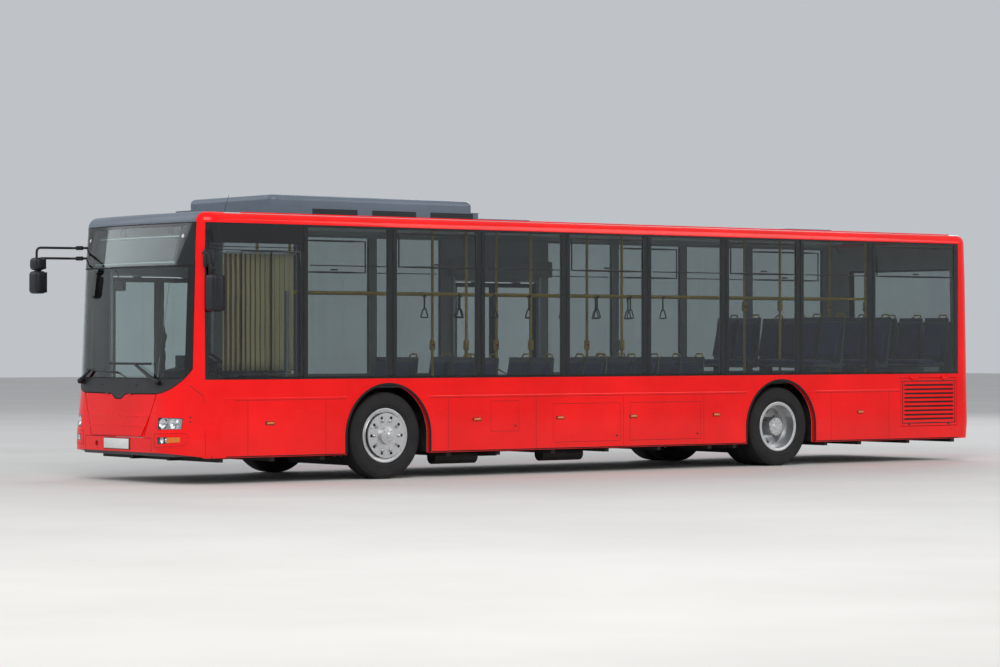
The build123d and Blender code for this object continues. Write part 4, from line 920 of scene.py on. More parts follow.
def wheel_trim(side_name, side, end, x, planes):
    """Rim flanges, nuts, hub end with its bolts and valve of one wheel."""
    hub = HUBS[end]
    parts = [(lathe(RIM_FLANGE, (x, side * y, WHEEL_Z), "Y", 96, side * sign), rim_silver)
             for y in planes for sign in (1, -1)]
    face_y = planes[0] + hub["face"]
    nuts = ring_of(wheel_nut(), WHEEL_NUTS, NUT_CIRCLE, steel)
    parts.append((moved(nuts, axle_turn(x, face_y + 0.0005, side)), steel))
    parts.append((lathe(hub["shape"], (x, side * face_y, WHEEL_Z), "Y", 64, side), rim_silver))
    bolts = ring_of(knob(hub["bolt"], steps=6), hub["bolts"], hub["circle"], steel)
    parts.append((moved(bolts, axle_turn(x, face_y + hub["seat"], side)), steel))
    foot = Vector((x + 0.214, side * (planes[0] + 0.09), WHEEL_Z + 0.08))
    valve = [foot, foot + Vector((0.004, side * 0.03, 0.002)), foot + Vector((-0.006, side * 0.062, -0.002))]
    parts.append((tube(valve, [0.0055, 0.005, 0.004], 10), rubber))
    join(f"wheel_trim_{end}_{side_name}", parts, f"wheel_{end}_{side_name}")


# ---------------------------------------------------------------- front lamps

# Corners of the left lamps on the front, as (y, z)
HEADLAMP = ((0.800, 0.580), (1.078, 0.586), (1.078, 0.704), (0.800, 0.708))
FOGLAMP = ((0.804, 0.425), (1.072, 0.451), (1.072, 0.505), (0.804, 0.499))
LAMP_DEPTH = 0.0325


def on_normal(y, z, depth):
    """Matrix that sets +Z along the front's outward normal at (y, z), with its origin at a depth below it."""
    spot, normal = front_point(y, z, -depth)
    turn = normal.to_track_quat("Z", "Y").to_matrix().to_4x4()
    return Matrix.Translation(spot) @ turn


def reflector(y, z, radius, depth=0.026):
    """Plated faceted bowl with its bulb shield, facing along the skin's normal."""
    dish = lathe([(radius, depth - 0.002), (radius + 0.003, depth - 0.002), (radius + 0.003, 0.0), (0.012, -0.001),
                  (0.012, 0.001), (radius * 0.45, 0.004), (radius * 0.72, 0.010), (radius * 0.9, 0.017)], steps=22)
    shield = knob([(0.007, 0.018), (0.011, 0.014), (0.012, 0.001)], 0.019)
    place = on_normal(y, z, 0.031)
    return [(moved(dish, place), bright), (moved(shield, place), steel)]


def middle_of(corners):
    """Middle of a quad."""
    return [sum(corner[n] for corner in corners) / 4 for n in (0, 1)]


def inset_quad(corners, amount):
    """A quad shrunk towards its middle by an amount."""
    mid = middle_of(corners)
    return [tuple(c + math.copysign(amount, m - c) for c, m in zip(corner, mid)) for corner in corners]


def lamp_liner(corners):
    """Four thin walls round a lamp pocket."""
    walls = []
    mid = middle_of(corners)
    for a, b in zip(corners, corners[1:] + corners[:1]):
        count = max(2, int(math.dist(a, b) / 0.02))
        level = abs(a[0] - b[0]) > abs(a[1] - b[1])
        bm = bmesh.new()
        rows = []
        for k in range(count + 1):
            y, z = (p + (q - p) * k / count for p, q in zip(a, b))
            inner_y = y if level else y + math.copysign(0.004, mid[0] - y)
            inner_z = z + math.copysign(0.004, mid[1] - z) if level else z
            rows.append([bm.verts.new(front_point(*spot)[0]) for spot in (
                (y, z, -0.0004), (inner_y, inner_z, -0.0004), (inner_y, inner_z, -LAMP_DEPTH), (y, z, -LAMP_DEPTH))])
        bridge(bm, rows, capped=True)
        walls.append((finish_mesh(bm, "liner"), dark_plastic))
    return walls


def front_lamp_units():
    """Headlamps with two reflectors each; lower lamps with a clear fog reflector and an amber indicator."""
    split_foot, split_head = (0.934, 0.4385), (0.934, 0.5015)
    clear = (FOGLAMP[0], split_foot, split_head, FOGLAMP[3])
    amber = (split_foot, FOGLAMP[1], FOGLAMP[2], split_head)
    half = lamp_liner(inset_quad(HEADLAMP, 0.0007)) + front_plates(
        (bright, inset_quad(HEADLAMP, 0.004), -0.0300, LAMP_DEPTH, 18, 6),
        (lamp_glass, inset_quad(HEADLAMP, 0.0012), -0.0002, 0.0022, 24, 6))
    half += reflector(0.866, 0.645, 0.050) + reflector(0.990, 0.645, 0.046)
    half += front_plates(
        (rim_silver, ((0.922, 0.592), (0.938, 0.592), (0.938, 0.699), (0.922, 0.699)), -0.016, 0.030, 3, 6),
        (white_lens, ((1.044, 0.594), (1.070, 0.595), (1.070, 0.696), (1.044, 0.698)), -0.012, 0.030, 4, 6))
    half += lamp_liner(inset_quad(FOGLAMP, 0.0007)) + front_plates(
        (bright, inset_quad(FOGLAMP, 0.004), -0.0300, LAMP_DEPTH, 18, 4),
        (lamp_glass, inset_quad(clear, 0.0012), -0.0002, 0.0022, 12, 4),
        (amber_lens, inset_quad(amber, 0.0012), -0.0002, 0.0060, 14, 4))
    half += reflector(0.868, 0.466, 0.028, 0.024)
    parts = half + [(mirrored(mesh), finish) for mesh, finish in half]
    join("front_lamp_units", parts, "body", ("front_lamps",))


def lamp_surround():
    """Pressed bead round the lower lamps and the crease above them."""
    bead = [(0.742, 0.541), (1.095, 0.552), (1.128, 0.538), (1.136, 0.500), (1.128, 0.440), (1.100, 0.412),
            (0.805, 0.386), (0.742, 0.384)]
    parts = []
    for side in (1, -1):
        places = [(side * y, z) for y, z in bead]
        parts.append((skin_line(front_point, places, 0.009, 0.0035, 0.002, True, 0.03), red_paint))
        inner = [(side * (y * 0.97 + 0.028), z * 0.93 + 0.0335) for y, z in bead]
        parts.append((skin_line(front_point, inner, 0.003, 0.0006, 0.001, True, 0.03), joint_and_shade_black))
    join("lamp_surround", parts, "body")


# ---------------------------------------------------------------- front: glass edge, cowl, seams, flap, plate

BEND_HEAD = 1.222  # where the dark field's edge has turned upright
WIPERS = (  # pivot, clip of the blade and both ends of the blade, as (y, z) on the screen
    ((0.798, 1.076), (0.340, 1.270), (0.643, 1.273), (-0.190, 1.273)),
    ((-0.798, 1.076), (-0.604, 1.197), (-0.002, 1.176), (-0.701, 1.205)),
)


def three_point_arc(a, b, c, count):
    """Points on the circle through three places, from the first to the last."""
    ax, ay, bx, by, cx, cy = *a, *b, *c
    d = 2 * (ax * (by - cy) + bx * (cy - ay) + cx * (ay - by))
    ux = ((ax**2 + ay**2) * (by - cy) + (bx**2 + by**2) * (cy - ay) + (cx**2 + cy**2) * (ay - by)) / d
    uy = ((ax**2 + ay**2) * (cx - bx) + (bx**2 + by**2) * (ax - cx) + (cx**2 + cy**2) * (bx - ax)) / d
    start, end = math.atan2(ay - uy, ax - ux), math.atan2(cy - uy, cx - ux)
    radius = math.hypot(ax - ux, ay - uy)
    return [(ux + radius * math.cos(start + (end - start) * k / count),
             uy + radius * math.sin(start + (end - start) * k / count)) for k in range(count + 1)]


def field_edge(grow=0.0):
    """Half outline of the dark field, from the foot's middle outwards and up."""
    low, side = 0.950 - grow, 1.127 + grow
    bend = three_point_arc((0.700, low + 0.005), (0.960 + grow * 0.5, 1.021 - grow * 0.9), (side, BEND_HEAD), 14)
    return [(0.0, low - 0.052), (0.060, low - 0.052), (0.150, low)] + bend + [(side, 2.764 + grow)]


def foot_at(y, grow=0.0):
    """Height of the dark field's lower edge."""
    edge = field_edge(grow)
    for (y0, z0), (y1, z1) in zip(edge, edge[1:]):
        if y0 <= abs(y) <= y1 and y1 > y0:
            return z0 + (z1 - z0) * (abs(y) - y0) / (y1 - y0)
    return BEND_HEAD


def screen_dressing():
    """Cowl panel, black glass edge, seals, the line between the two panes and the high lamps behind them."""
    def cowl_foot(t):
        y = 1.078 * (2 * t - 1)
        return y, foot_at(y, -0.006)

    def cowl_head(t):
        y, foot = cowl_foot(t)
        return y, max(1.118, foot + 0.0005)

    parts = [(face_patch(front_point, (cowl_foot, cowl_head), 0.0012, 0.0004, 90, 5), cowl_plastic)]
    parts.append((skin_line(front_point, [(-1.07, 1.119), (1.07, 1.119)], 0.010, 0.0030, 0.0005), rubber))
    edge = field_edge(-0.004)
    for side in (1, -1):
        def place(y, z):
            return front_point(side * y, z)

        parts.append((skin_line(place, edge[2:], 0.008, 0.0022, 0.0006, spacing=0.04), rubber))
        parts.append((skin_line(place, edge[:3], 0.006, 0.0018, 0.0006, spacing=0.02), rubber))
        for corners, across, up in (([(1.066, 1.13), (1.121, 1.24), (1.121, 2.298), (1.066, 2.298)], 5, 40),
                                    (rectangle(0.905, 1.121, 2.315, 2.758), 14, 16)):
            parts.append((front_quad([(side * y, z) for y, z in corners], 0.0007, 0.0002, across, up), frit_black))
        seat = on_normal(side * 0.960, 2.620, 0.0)
        lens = knob([(0.016, 0.008), (0.021, 0.004), (0.022, 0.0)], 0.009, steps=24)
        collar = lathe([(0.022, 0.0), (0.022, 0.005), (0.026, 0.005), (0.029, 0.0)], steps=24)
        parts += [(moved(lens, seat), white_lens), (moved(collar, seat), dark_plastic)]
    parts.append((front_quad(rectangle(-0.905, 0.905, 2.728, 2.758), 0.0007, 0.0002, 50, 3), frit_black))
    for z, width, rise, sink in ((2.3075, 0.015, 0.0026, 0.001), (2.763, 0.009, 0.0022, 0.0006)):
        parts.append((skin_line(front_point, [(-1.121, z), (1.121, z)], width, rise, sink), rubber))
    join("screen_dressing", parts, "body")


def blank_plate(foot, holder, plate):
    """Plate holder and blank plate, each between two X, over a foot's height."""
    return [(block((holder[0], -0.268, foot), (holder[1], 0.268, foot + 0.120), 0.003), dark_plastic),
            (block((plate[0], -0.258, foot + 0.006), (plate[1], 0.258, foot + 0.114), 0.0015), plate_white)]


def front_seams():
    """Panel joints, corner screws, washer jets, blank plate and tow socket cover ring at the front."""
    parts = []
    for side in (1, -1):
        places = [(side * 0.687, 0.338), (side * 0.687, 0.487), (side * 0.548, 0.487)]
        parts.append((skin_line(front_point, places, 0.0045, 0.0007, 0.001, spacing=0.03), joint_and_shade_black))
        seam = [(CREASE_X + 0.142 * k / 6, 0.929 + 0.137 * k / 6) for k in range(7)]
        parts.append((skin_line(SIDE_POINT[side], seam, 0.0045, 0.0010, 0.002), joint_and_shade_black))
        crease = [(CREASE_X, 0.292), (CREASE_X, 0.929)]
        parts.append((skin_line(SIDE_POINT[side], crease, 0.0035, 0.0006, 0.001), joint_and_shade_black))
        for y, z in ((1.131, 0.712), (1.134, 0.665)):
            screw = knob([(0.006, 0.0035), (0.0095, 0.0)], 0.004)
            parts.append((moved(screw, on_normal(side * y, z, 0.0)), dark_plastic))
        jet = knob([(0.007, 0.011), (0.011, 0.004), (0.013, 0.0)], 0.012, steps=18)
        parts.append((moved(jet, on_normal(side * 0.36, 1.045, 0.0)), dark_plastic))
    face = NOSE_X + 0.001
    parts += blank_plate(0.357, (face - 0.006, face + 0.004), (face + 0.003, face + 0.0065))
    for y in (-0.2, 0.2):
        screw = knob([(0.005, 0.0025), (0.007, 0.0)], 0.003, (face + 0.006, y, 0.417), "X", 16)
        parts.append((screw, steel))
    ring = lathe([(0.0235, 0.0), (0.0235, 0.004), (0.030, 0.003), (0.032, -0.001)], (5.8585, -0.430, 0.410), "X", 32)
    parts.append((ring, dark_plastic))
    join("front_seams", parts, "body")


def flap_ribs():
    """Two pressed steps across the service flap and its locks."""
    parts = []
    for head, half_head, foot, half_foot, rise in (
        (0.716, 0.632, 0.505, 0.515, 0.0070), (0.610, 0.578, 0.508, 0.505, 0.0140),
    ):
        corners = ((-half_foot, foot), (half_foot, foot), (half_head, head), (-half_head, head))
        parts.append((front_quad(corners, rise, 0.0005, 44, 6), red_paint))
        crest = [(-half_head, head), (half_head, head)]
        parts.append((skin_line(front_point, crest, 0.010, rise + 0.0025, 0.0005), red_paint))
    for y in (-0.42, 0.42):
        lock = knob([(0.012, 0.003), (0.015, 0.0)], steps=24)
        parts.append((moved(lock, on_normal(y, 0.545, -0.009)), dark_plastic))
    join("flap_ribs", parts, "front_flap")


def wiper_set():
    """Wipers: pivot caps, tapered arms with their washer hoses, bridged blades with their rubber."""
    parts = []
    for (py, pz), (cy, cz), (ay, az), (by, bz) in WIPERS:
        cap = knob([(0.020, 0.070), (0.030, 0.060), (0.031, 0.012), (0.038, 0.004), (0.038, 0.0)], 0.072, steps=28)
        parts.append((moved(cap, on_normal(py, pz, -0.001)), wiper_black))
        shares = [k / 10 for k in range(11)]
        path = [front_point(py + (cy - py) * t, pz + (cz - pz) * t, 0.046 - 0.016 * t)[0] for t in shares]
        parts.append((tube(path, [0.023 - 0.009 * t for t in shares], 12), wiper_black))
        parts.append((tube([path[0] - (path[1] - path[0]) * 0.3, path[2]], [0.026, 0.0245], 12), wiper_black))
        parts.append((tube([front_point(cy, cz, lift)[0] for lift in (0.014, 0.034)], 0.010, 12), wiper_black))
        spots = [front_point(ay + (by - ay) * k / 24, az + (bz - az) * k / 24) for k in range(25)]
        normals = [normal for spot, normal in spots]
        for lift, width, sink, finish in ((0.020, 0.024, 0.005, wiper_black), (0.010, 0.0035, 0.006, rubber)):
            raised = [spot + normal * lift for spot, normal in spots]
            parts.append((strip(raised, normals, width, 0.008, sink), finish))
        for low, high in ((5, 19), (2, 8), (16, 22)):
            arch = [spots[n][0] + spots[n][1] * lift
                    for n, lift in ((low, 0.022), ((low + high) // 2, 0.034), (high, 0.022))]
            parts.append((tube(smooth_path(arch, 5), 0.008, 8), wiper_black))
        parts.append((tube([spot + Vector((0, 0, -0.013)) for spot in path[1:-1]], 0.003, 8), rubber))
    join("wiper_set", parts, "body", ("wipers",))


def mirror_head(lo, hi):
    """Rounded mirror housing with its glass on the rear face."""
    shell = block(lo, hi, 0.042, 5)
    rim = block((lo[0] - 0.0005, lo[1] + 0.010, lo[2] + 0.012), (lo[0] + 0.010, hi[1] - 0.010, hi[2] - 0.012), 0.005, 2)
    glass = block((lo[0] - 0.0015, lo[1] + 0.016, lo[2] + 0.018),
                  (lo[0] + 0.004, hi[1] - 0.016, hi[2] - 0.018), 0.0015, 1)
    return [(shell, mirror_black), (rim, rubber), (glass, mirror_face)]


def mirror_set():
    """Right mirrors on two long bent tubes, left mirror under its bracket, and the one inside the screen."""
    parts = []
    tip_x, tip_y = 6.115, -1.5
    for z, back in ((2.549, 0.045), (2.433, 0.085)):
        path = rounded_path([
            (5.543, -1.125, z), (5.663, -1.280, z), (tip_x - back, -1.380, z), (tip_x - back, -1.385, 2.385)], 0.05)
        parts.append((tube(path, 0.0135, 14), wiper_black))
        parts.append((tube([(5.60, -1.190, z), (5.64, -1.252, z)], 0.024, 14), wiper_black))
    parts += mirror_head((tip_x - 0.138, tip_y, 2.040), (tip_x, tip_y + 0.2, 2.290))
    parts += mirror_head((tip_x - 0.130, tip_y + 0.006, 2.300), (tip_x - 0.006, tip_y + 0.194, 2.440))
    parts.append((block((tip_x - 0.10, tip_y + 0.07, 2.28), (tip_x - 0.04, tip_y + 0.13, 2.31), 0.006), wiper_black))
    for z, ahead in ((2.440, 0.055), (2.330, 0.025)):
        x = CREASE_X + ahead
        path = rounded_path([(x - 0.06, 1.155, z), (x - 0.01, 1.345, z), (x - 0.02, 1.380, 2.17)], 0.04)
        parts.append((tube(path, 0.0135, 14), wiper_black))
    parts.append((block((5.455, 1.243, 2.290), (5.560, 1.305, 2.478), 0.012, 3), mirror_black))
    parts.append((block((5.475, 1.30, 2.315), (5.552, 1.352, 2.455), 0.010, 3), mirror_black))
    parts += mirror_head((5.443, 1.300, 1.822), (5.583, 1.500, 2.212))
    parts.append((tube([(5.515, 1.395, 2.190), (5.515, 1.395, 2.270)], 0.020, 16), wiper_black))
    join("mirror_set", parts, "body", ("mirrors",))
    inside = mirror_head((5.560, -0.520, 2.060), (5.600, -0.300, 2.170))
    stem = rounded_path([(5.595, -0.41, 2.16), (5.60, -0.41, 2.25), (5.66, -0.41, 2.31)], 0.03)
    inside.append((tube(stem, 0.006, 10), wiper_black))
    join("inside_mirror", inside, "body")


# ---------------------------------------------------------------- sides


def driver_window(rear):
    """Driver's window: header panel, two bars under it, its frame and the sliding pane's edge."""
    place = SIDE_POINT[1]
    header = side_quad(1, rear + 0.006, BAND_FRONT - 0.006, 2.551, BAND_HEAD - 0.008, 0.0008, 0.0003, 16, 4)
    parts = [(header, frit_black)]
    for z in (2.511, 2.477):
        bar = [(rear + 0.03, z), (BAND_FRONT - 0.05, z)]
        parts.append((skin_line(place, bar, 0.009, 0.0035, 0.001, spacing=0.1), black_gloss))
    opening = rectangle(rear + 0.05, BAND_FRONT - 0.42, 1.16, 2.468)
    parts.append((skin_line(place, opening, 0.014, 0.0035, 0.001, True, 0.15), black_gloss))
    edge = [(rear + 0.42, 1.165), (rear + 0.42, 2.462)]
    parts.append((skin_line(place, edge, 0.020, 0.0045, 0.001, spacing=0.2), black_gloss))
    return parts


def window_trim(side, posts, doors):
    """Rubber between the panes and along the band, the top vents' frames and catches, the driver's window."""
    place = SIDE_POINT[side]
    parts = []
    for x in posts:
        joint = [(x, BAND_FOOT + 0.004), (x, BAND_HEAD - 0.004)]
        parts.append((skin_line(place, joint, 0.007, 0.0015, 0.003, spacing=0.4), rubber))
    stops = [BAND_REAR] + sorted(v for door in doors for v in door) + [BAND_FRONT]
    runs = [(BAND_REAR, BAND_FRONT, BAND_HEAD - 0.003)]
    runs += [(a, b, BAND_FOOT + 0.003) for a, b in zip(stops[::2], stops[1::2])]
    for a, b, z in runs:
        parts.append((skin_line(place, [(a, z), (b, z)], 0.006, 0.0012, 0.003, spacing=0.15), rubber))
    for n, (front, rear) in enumerate(zip([BAND_FRONT] + posts, posts + [BAND_REAR])):
        a, b = rear + 0.075, front - 0.075
        if any(rear < (d0 + d1) / 2 < front for d0, d1 in doors):
            continue
        if n == 0 and side > 0:
            parts += driver_window(rear)
        elif n % 2 == 0 or b - a < 0.9:
            parts.append((skin_line(place, rectangle(a, b, 2.330, 2.700), 0.022, 0.0040, 0.001, True, 0.2),
                          black_frame))
            x, y = (a + b) / 2, side * SIDE_FACE
            parts.append((block((x - 0.05, y - 0.003, 2.352), (x + 0.05, y + 0.006, 2.372), 0.003), dark_plastic))
        else:
            parts.append((skin_line(place, [(a, 2.330), (b, 2.330)], 0.012, 0.0014, 0.001, spacing=0.3), black_frame))
    return parts


def clear_of(doors, margin, places):
    """The places that keep a margin from every doorway."""
    return [v for v in places if not any(d0 - margin < v < d1 + margin for d0, d1 in doors)]


def skirt_trim(side, doors):
    """Arch lips, panel joints, rubbing strip, side markers, locker doors or door buttons, and the skirt's rubber."""
    place = SIDE_POINT[side]
    parts = []
    for axle in (FRONT_AXLE_X, REAR_AXLE_X):
        arch = [(axle + ARCH_RADIUS * math.cos(a), WHEEL_Z + ARCH_RADIUS * math.sin(a))
                for a in (math.pi * k / 40 for k in range(41))]
        lip = [(axle + ARCH_RADIUS, 0.288), *arch, (axle - ARCH_RADIUS, 0.288)]
        parts.append((skin_line(place, lip, 0.026, 0.0085, 0.002, spacing=0.08), rubber))
    for x in clear_of(doors, 0.12, (5.0, 4.0, 2.35, 1.1, -0.2, -1.45, -3.55, -4.55)):
        parts.append((skin_line(place, [(x, 0.292), (x, 0.885)], 0.0035, 0.0006, 0.001, spacing=0.3), joint_and_shade_black))
    for a, b in RUBBING_STRIPS[side]:
        parts.append((skin_line(place, [(a, 0.886), (b, 0.886)], 0.0035, 0.0006, 0.001, spacing=0.3), joint_and_shade_black))
        rib = [(a + 0.01, 0.905), (b - 0.01, 0.905)]
        parts.append((skin_line(place, rib, 0.016, 0.0035, 0.001, spacing=0.3), red_paint))
    for x in clear_of(doors, 0.1, (4.72, 1.95, 0.75, -0.35, -1.65, -4.05) + ((-5.35,) if side < 0 else ())):
        y = side * side_y(x, 0.64)
        parts.append((block((x - 0.055, y - 0.003, 0.622), (x + 0.055, y + 0.010, 0.658), 0.004), dark_plastic))
        parts.append((block((x - 0.047, y - 0.001, 0.628), (x + 0.047, y + side * 0.0145, 0.652), 0.004), amber_lens))
    if side > 0:
        for x0, x1, z0, z1 in ((1.35, 1.75, 0.50, 0.84), (-0.15, 0.85, 0.36, 0.80), (-1.40, -0.30, 0.36, 0.80)):
            parts.append((skin_line(place, rectangle(x0, x1, z0, z1), 0.004, 0.0008, 0.001, True, 0.4), joint_and_shade_black))
            lock = knob([(0.012, 0.002), (0.014, -0.001)], centre=(x0 + 0.05, SIDE_FACE, z0 + 0.06), axis="Y")
            parts.append((lock, dark_plastic))
    else:
        for x in (3.86, -0.92):
            box = block((x - 0.03, -SIDE_FACE - 0.006, 1.02), (x + 0.03, -1.2495, 1.10), 0.004)
            button = knob([(0.010, 0.010), (0.013, 0.006), (0.013, 0)], centre=(x, -SIDE_FACE, 1.06), axis="Y", flip=-1)
            parts += [(box, dark_plastic), (button, white_lens)]
    for run in ((-5.80, -3.30), (-2.12, 2.58), (3.75, 5.45)):
        spans = [run]
        for d0, d1 in doors:
            spans = [s for lo, hi in spans for s in ((lo, min(hi, d0)), (max(lo, d1), hi)) if s[1] - s[0] > 0.05]
        for lo, hi in spans:
            parts.append((skin_line(place, [(lo, 0.290), (hi, 0.291)], 0.012, 0.0020, 0.004, spacing=0.2), rubber))
    return parts


def side_dressing():
    """Trim of both sides, over the glass band and on the skirt under it."""
    for name, side, posts, doors in (
        ("left", 1, LEFT_POSTS, []), ("right", -1, RIGHT_POSTS, list(DOORWAYS.values())),
    ):
        parts = window_trim(side, posts, doors) + skirt_trim(side, doors)
        join(f"side_dressing_{name}", parts, "body")


def radiator_grille():
    """Slats, frame and locks of the radiator flap."""
    slat = block((-0.44, -0.006, -0.009), (0.44, 0.006, 0.009), 0.003, 1)
    slat.transform(Matrix.Rotation(math.radians(35), 4, "X"))
    rows = row_of(slat, 9, (0, 0, 0.05333), dark_plastic)
    parts = [(shifted(rows, -5.265, 1.236, 0.5367), dark_plastic)]
    box = rectangle(-5.735, -4.795, 0.485, 1.015)
    parts.append((skin_line(SIDE_POINT[1], box, 0.014, 0.003, 0.001, True, 0.4), black_frame))
    for x in (-5.62, -4.91):
        lock = knob([(0.013, 0.003), (0.016, -0.001)], centre=(x, SIDE_FACE, 0.468), axis="Y")
        parts.append((lock, dark_plastic))
    join("radiator_grille", parts, "radiator_flap")


# ---------------------------------------------------------------- doors


def door_dressing():
    """Rubber nosings, seals round the glass and a grab rail on each leaf, and both doorways' seals and sills."""
    for door, (d0, d1) in DOORWAYS.items():
        length = (d1 - d0 - 2 * LEAF_CLEARANCE - LEAF_GAP) / 2
        for end, lo in (("a", d1 - LEAF_CLEARANCE - length), ("b", d0 + LEAF_CLEARANCE)):
            hi = lo + length
            parts = []
            for x in (lo, hi - 0.016):
                nosing = block((x, LEAF_FACE - 0.003, 0.372), (x + 0.016, LEAF_FACE + 0.030, 2.228), 0.0035)
                parts.append((nosing, rubber))
            x0, x1 = lo + 0.048, hi - 0.048
            corners = rectangle(x0, x1, 0.415, 2.184)
            for a, b in zip(corners, corners[1:] + corners[:1]):
                seal = block((min(a[0], b[0]) - 0.006, LEAF_FACE - 0.002, min(a[1], b[1]) - 0.006),
                             (max(a[0], b[0]) + 0.006, LEAF_FACE + 0.008, max(a[1], b[1]) + 0.006), 0.003)
                parts.append((seal, rubber))
            bar = rounded_path([(x0 - 0.02, -1.210, 0.92), (x0 - 0.02, -1.196, 0.92), (x1 + 0.02, -1.196, 1.18),
                                (x1 + 0.02, -1.210, 1.18)], 0.008)
            parts.append((tube(bar, 0.0085, 10), rail_yellow))
            join(f"leaf_trim_{door}_{end}", parts, f"door_leaf_{door}_{end}")
    parts = []
    for d0, d1 in DOORWAYS.values():
        parts.append((block((d0, -1.2515, 2.244), (d1, -1.238, 2.256), 0.002), rubber))
        parts.append((block((d0 + 0.01, -1.245, 0.3285), (d1 - 0.01, -1.19, 0.3345), 0.002), aluminium))
        parts.append((block((d0 + 0.01, -1.195, 0.3295), (d1 - 0.01, -1.150, 0.3340), 0.002), rail_yellow))
    join("doorway_sills", parts, "body")


# ---------------------------------------------------------------- rear


def rear_quad(y0, y1, z0, z1, rise, sink, across=10, up=6):
    """Plate on the rear between two places across and two heights."""
    return face_patch(rear_point, (line((y0, z0), (y1, z0)), line((y0, z1), (y1, z1))), rise, sink, across, up)


def tail_lamp_units():
    """Each cluster: white, red, red and amber lamps, from the foot up, in a dark housing."""
    parts = []
    for side in (1, -1):
        parts.append((rear_quad(side * 1.0305, side * 1.1295, 0.7605, 1.4195, -0.012, 0.0325, 8, 4), dark_plastic))
        for z0, z1, finish in ((0.772, 0.905, white_lens), (0.922, 1.075, red_lens), (1.092, 1.245, red_lens),
                               (1.262, 1.408, amber_lens)):
            parts.append((rear_quad(side * 1.041, side * 1.119, z0, z1, 0.002, 0.014, 8, 6), finish))
            box = rectangle(side * 1.036, side * 1.124, z0 - 0.005, z1 + 0.005)
            parts.append((skin_line(rear_point, box, 0.008, 0.002, 0.014, True, 0.03), black_gloss))
    join("tail_lamp_units", parts, "body", ("tail_lamps",))


def round_opening(half, foot, head, inner_half, inner_foot, inner_head):
    """Four rectangles (y0, y1, z0, z1) round an opening."""
    return ((-half, half, foot, inner_foot), (-half, half, inner_head, head),
            (-half, -inner_half, inner_foot, inner_head), (inner_half, half, inner_foot, inner_head))


def rear_dressing():
    """Rear window edge, high lamps, bumper seams, reflectors, blank plate, blank display and the inner lining."""
    parts = []
    for sizes in round_opening(0.944, 1.726, 2.474, 0.89, 1.77, 2.43):
        parts.append((rear_quad(*sizes, 0.0007, 0.0002, 30, 6), frit_black))
    box = rectangle(-0.951, 0.951, 1.719, 2.481)
    parts.append((skin_line(rear_point, box, 0.008, 0.002, 0.001, True, 0.08), rubber))
    for side in (1, -1):
        parts.append((rear_quad(side * 0.86, side * 1.02, 2.60, 2.65, 0.012, 0.002, 8, 4), red_lens))
        parts.append((rear_quad(side * 0.70, side * 0.84, 2.60, 2.65, 0.012, 0.002, 8, 4), amber_lens))
        parts.append((rear_quad(side * 0.88, side * 0.98, 0.56, 0.60, 0.006, 0.002, 6, 3), red_lens))
        seam = [(side * 1.0, 0.30), (side * 1.0, 0.50), (side * 1.16, 0.56)]
        parts.append((skin_line(rear_point, seam, 0.004, 0.0008, 0.001, spacing=0.05), joint_and_shade_black))
    parts.append((skin_line(rear_point, [(-1.0, 0.50), (1.0, 0.50)], 0.004, 0.0008, 0.001, spacing=0.08), joint_and_shade_black))
    face = rear_x(0.26, 0.40)
    parts += blank_plate(0.345, (face - 0.009, face + 0.004), (face - 0.0115, face - 0.008))
    parts.append((rear_quad(-0.55, 0.55, 2.545, 2.70, 0.003, 0.001, 20, 4), screen_dark))
    for sizes in round_opening(1.12, 1.10, 2.819, 0.928, 1.742, 2.458):
        parts.append((rear_quad(*sizes, -0.0605, 0.0645, 30, 6), pale_trim))
    for side in (1, -1):
        parts.append((rear_quad(side * 1.12, side * 1.241, 1.10, 2.819, -0.0605, 0.0645, 12, 6), pale_trim))
    join("rear_dressing", parts, "body")


def engine_grille():
    """Louvre field with painted shade behind its slats, handle and locks of the engine flap."""
    slat = block((-0.007, -0.62, -0.011), (0.007, 0.62, 0.011), 0.003, 1)
    slat.transform(Matrix.Rotation(math.radians(-32), 4, "Y"))
    rows = row_of(slat, 9, (0.0, 0, 0.036), red_plain)
    parts = [(shifted(rows, rear_x(0.3, 0.85) - 0.0005, 0, 0.720), red_plain)]
    box = rectangle(-0.66, 0.66, 0.690, 1.040)
    parts.append((skin_line(rear_point, box, 0.014, 0.004, 0.001, True, 0.1), red_plain))
    # Painted shade: a near-black sheet on the flap behind the slats stands for the dark openings between them
    parts.append((rear_quad(-0.64, 0.64, 0.700, 1.030, 0.0006, 0.0005, 20, 4), joint_and_shade_black))
    for y in (-0.5, 0.5):
        lock = knob([(0.014, 0.004), (0.017, 0.0)], centre=(rear_x(y, 0.61), y, 0.61), axis="X", flip=-1)
        parts.append((lock, dark_plastic))
    x = rear_x(0, 0.62)
    handle = rounded_path([(x, -0.08, 0.62), (x - 0.008, -0.08, 0.62), (x - 0.008, 0.08, 0.62), (x, 0.08, 0.62)], 0.012)
    parts.append((tube(handle, 0.006, 10), dark_plastic))
    join("engine_grille", parts, "engine_flap")


# ---------------------------------------------------------------- roof


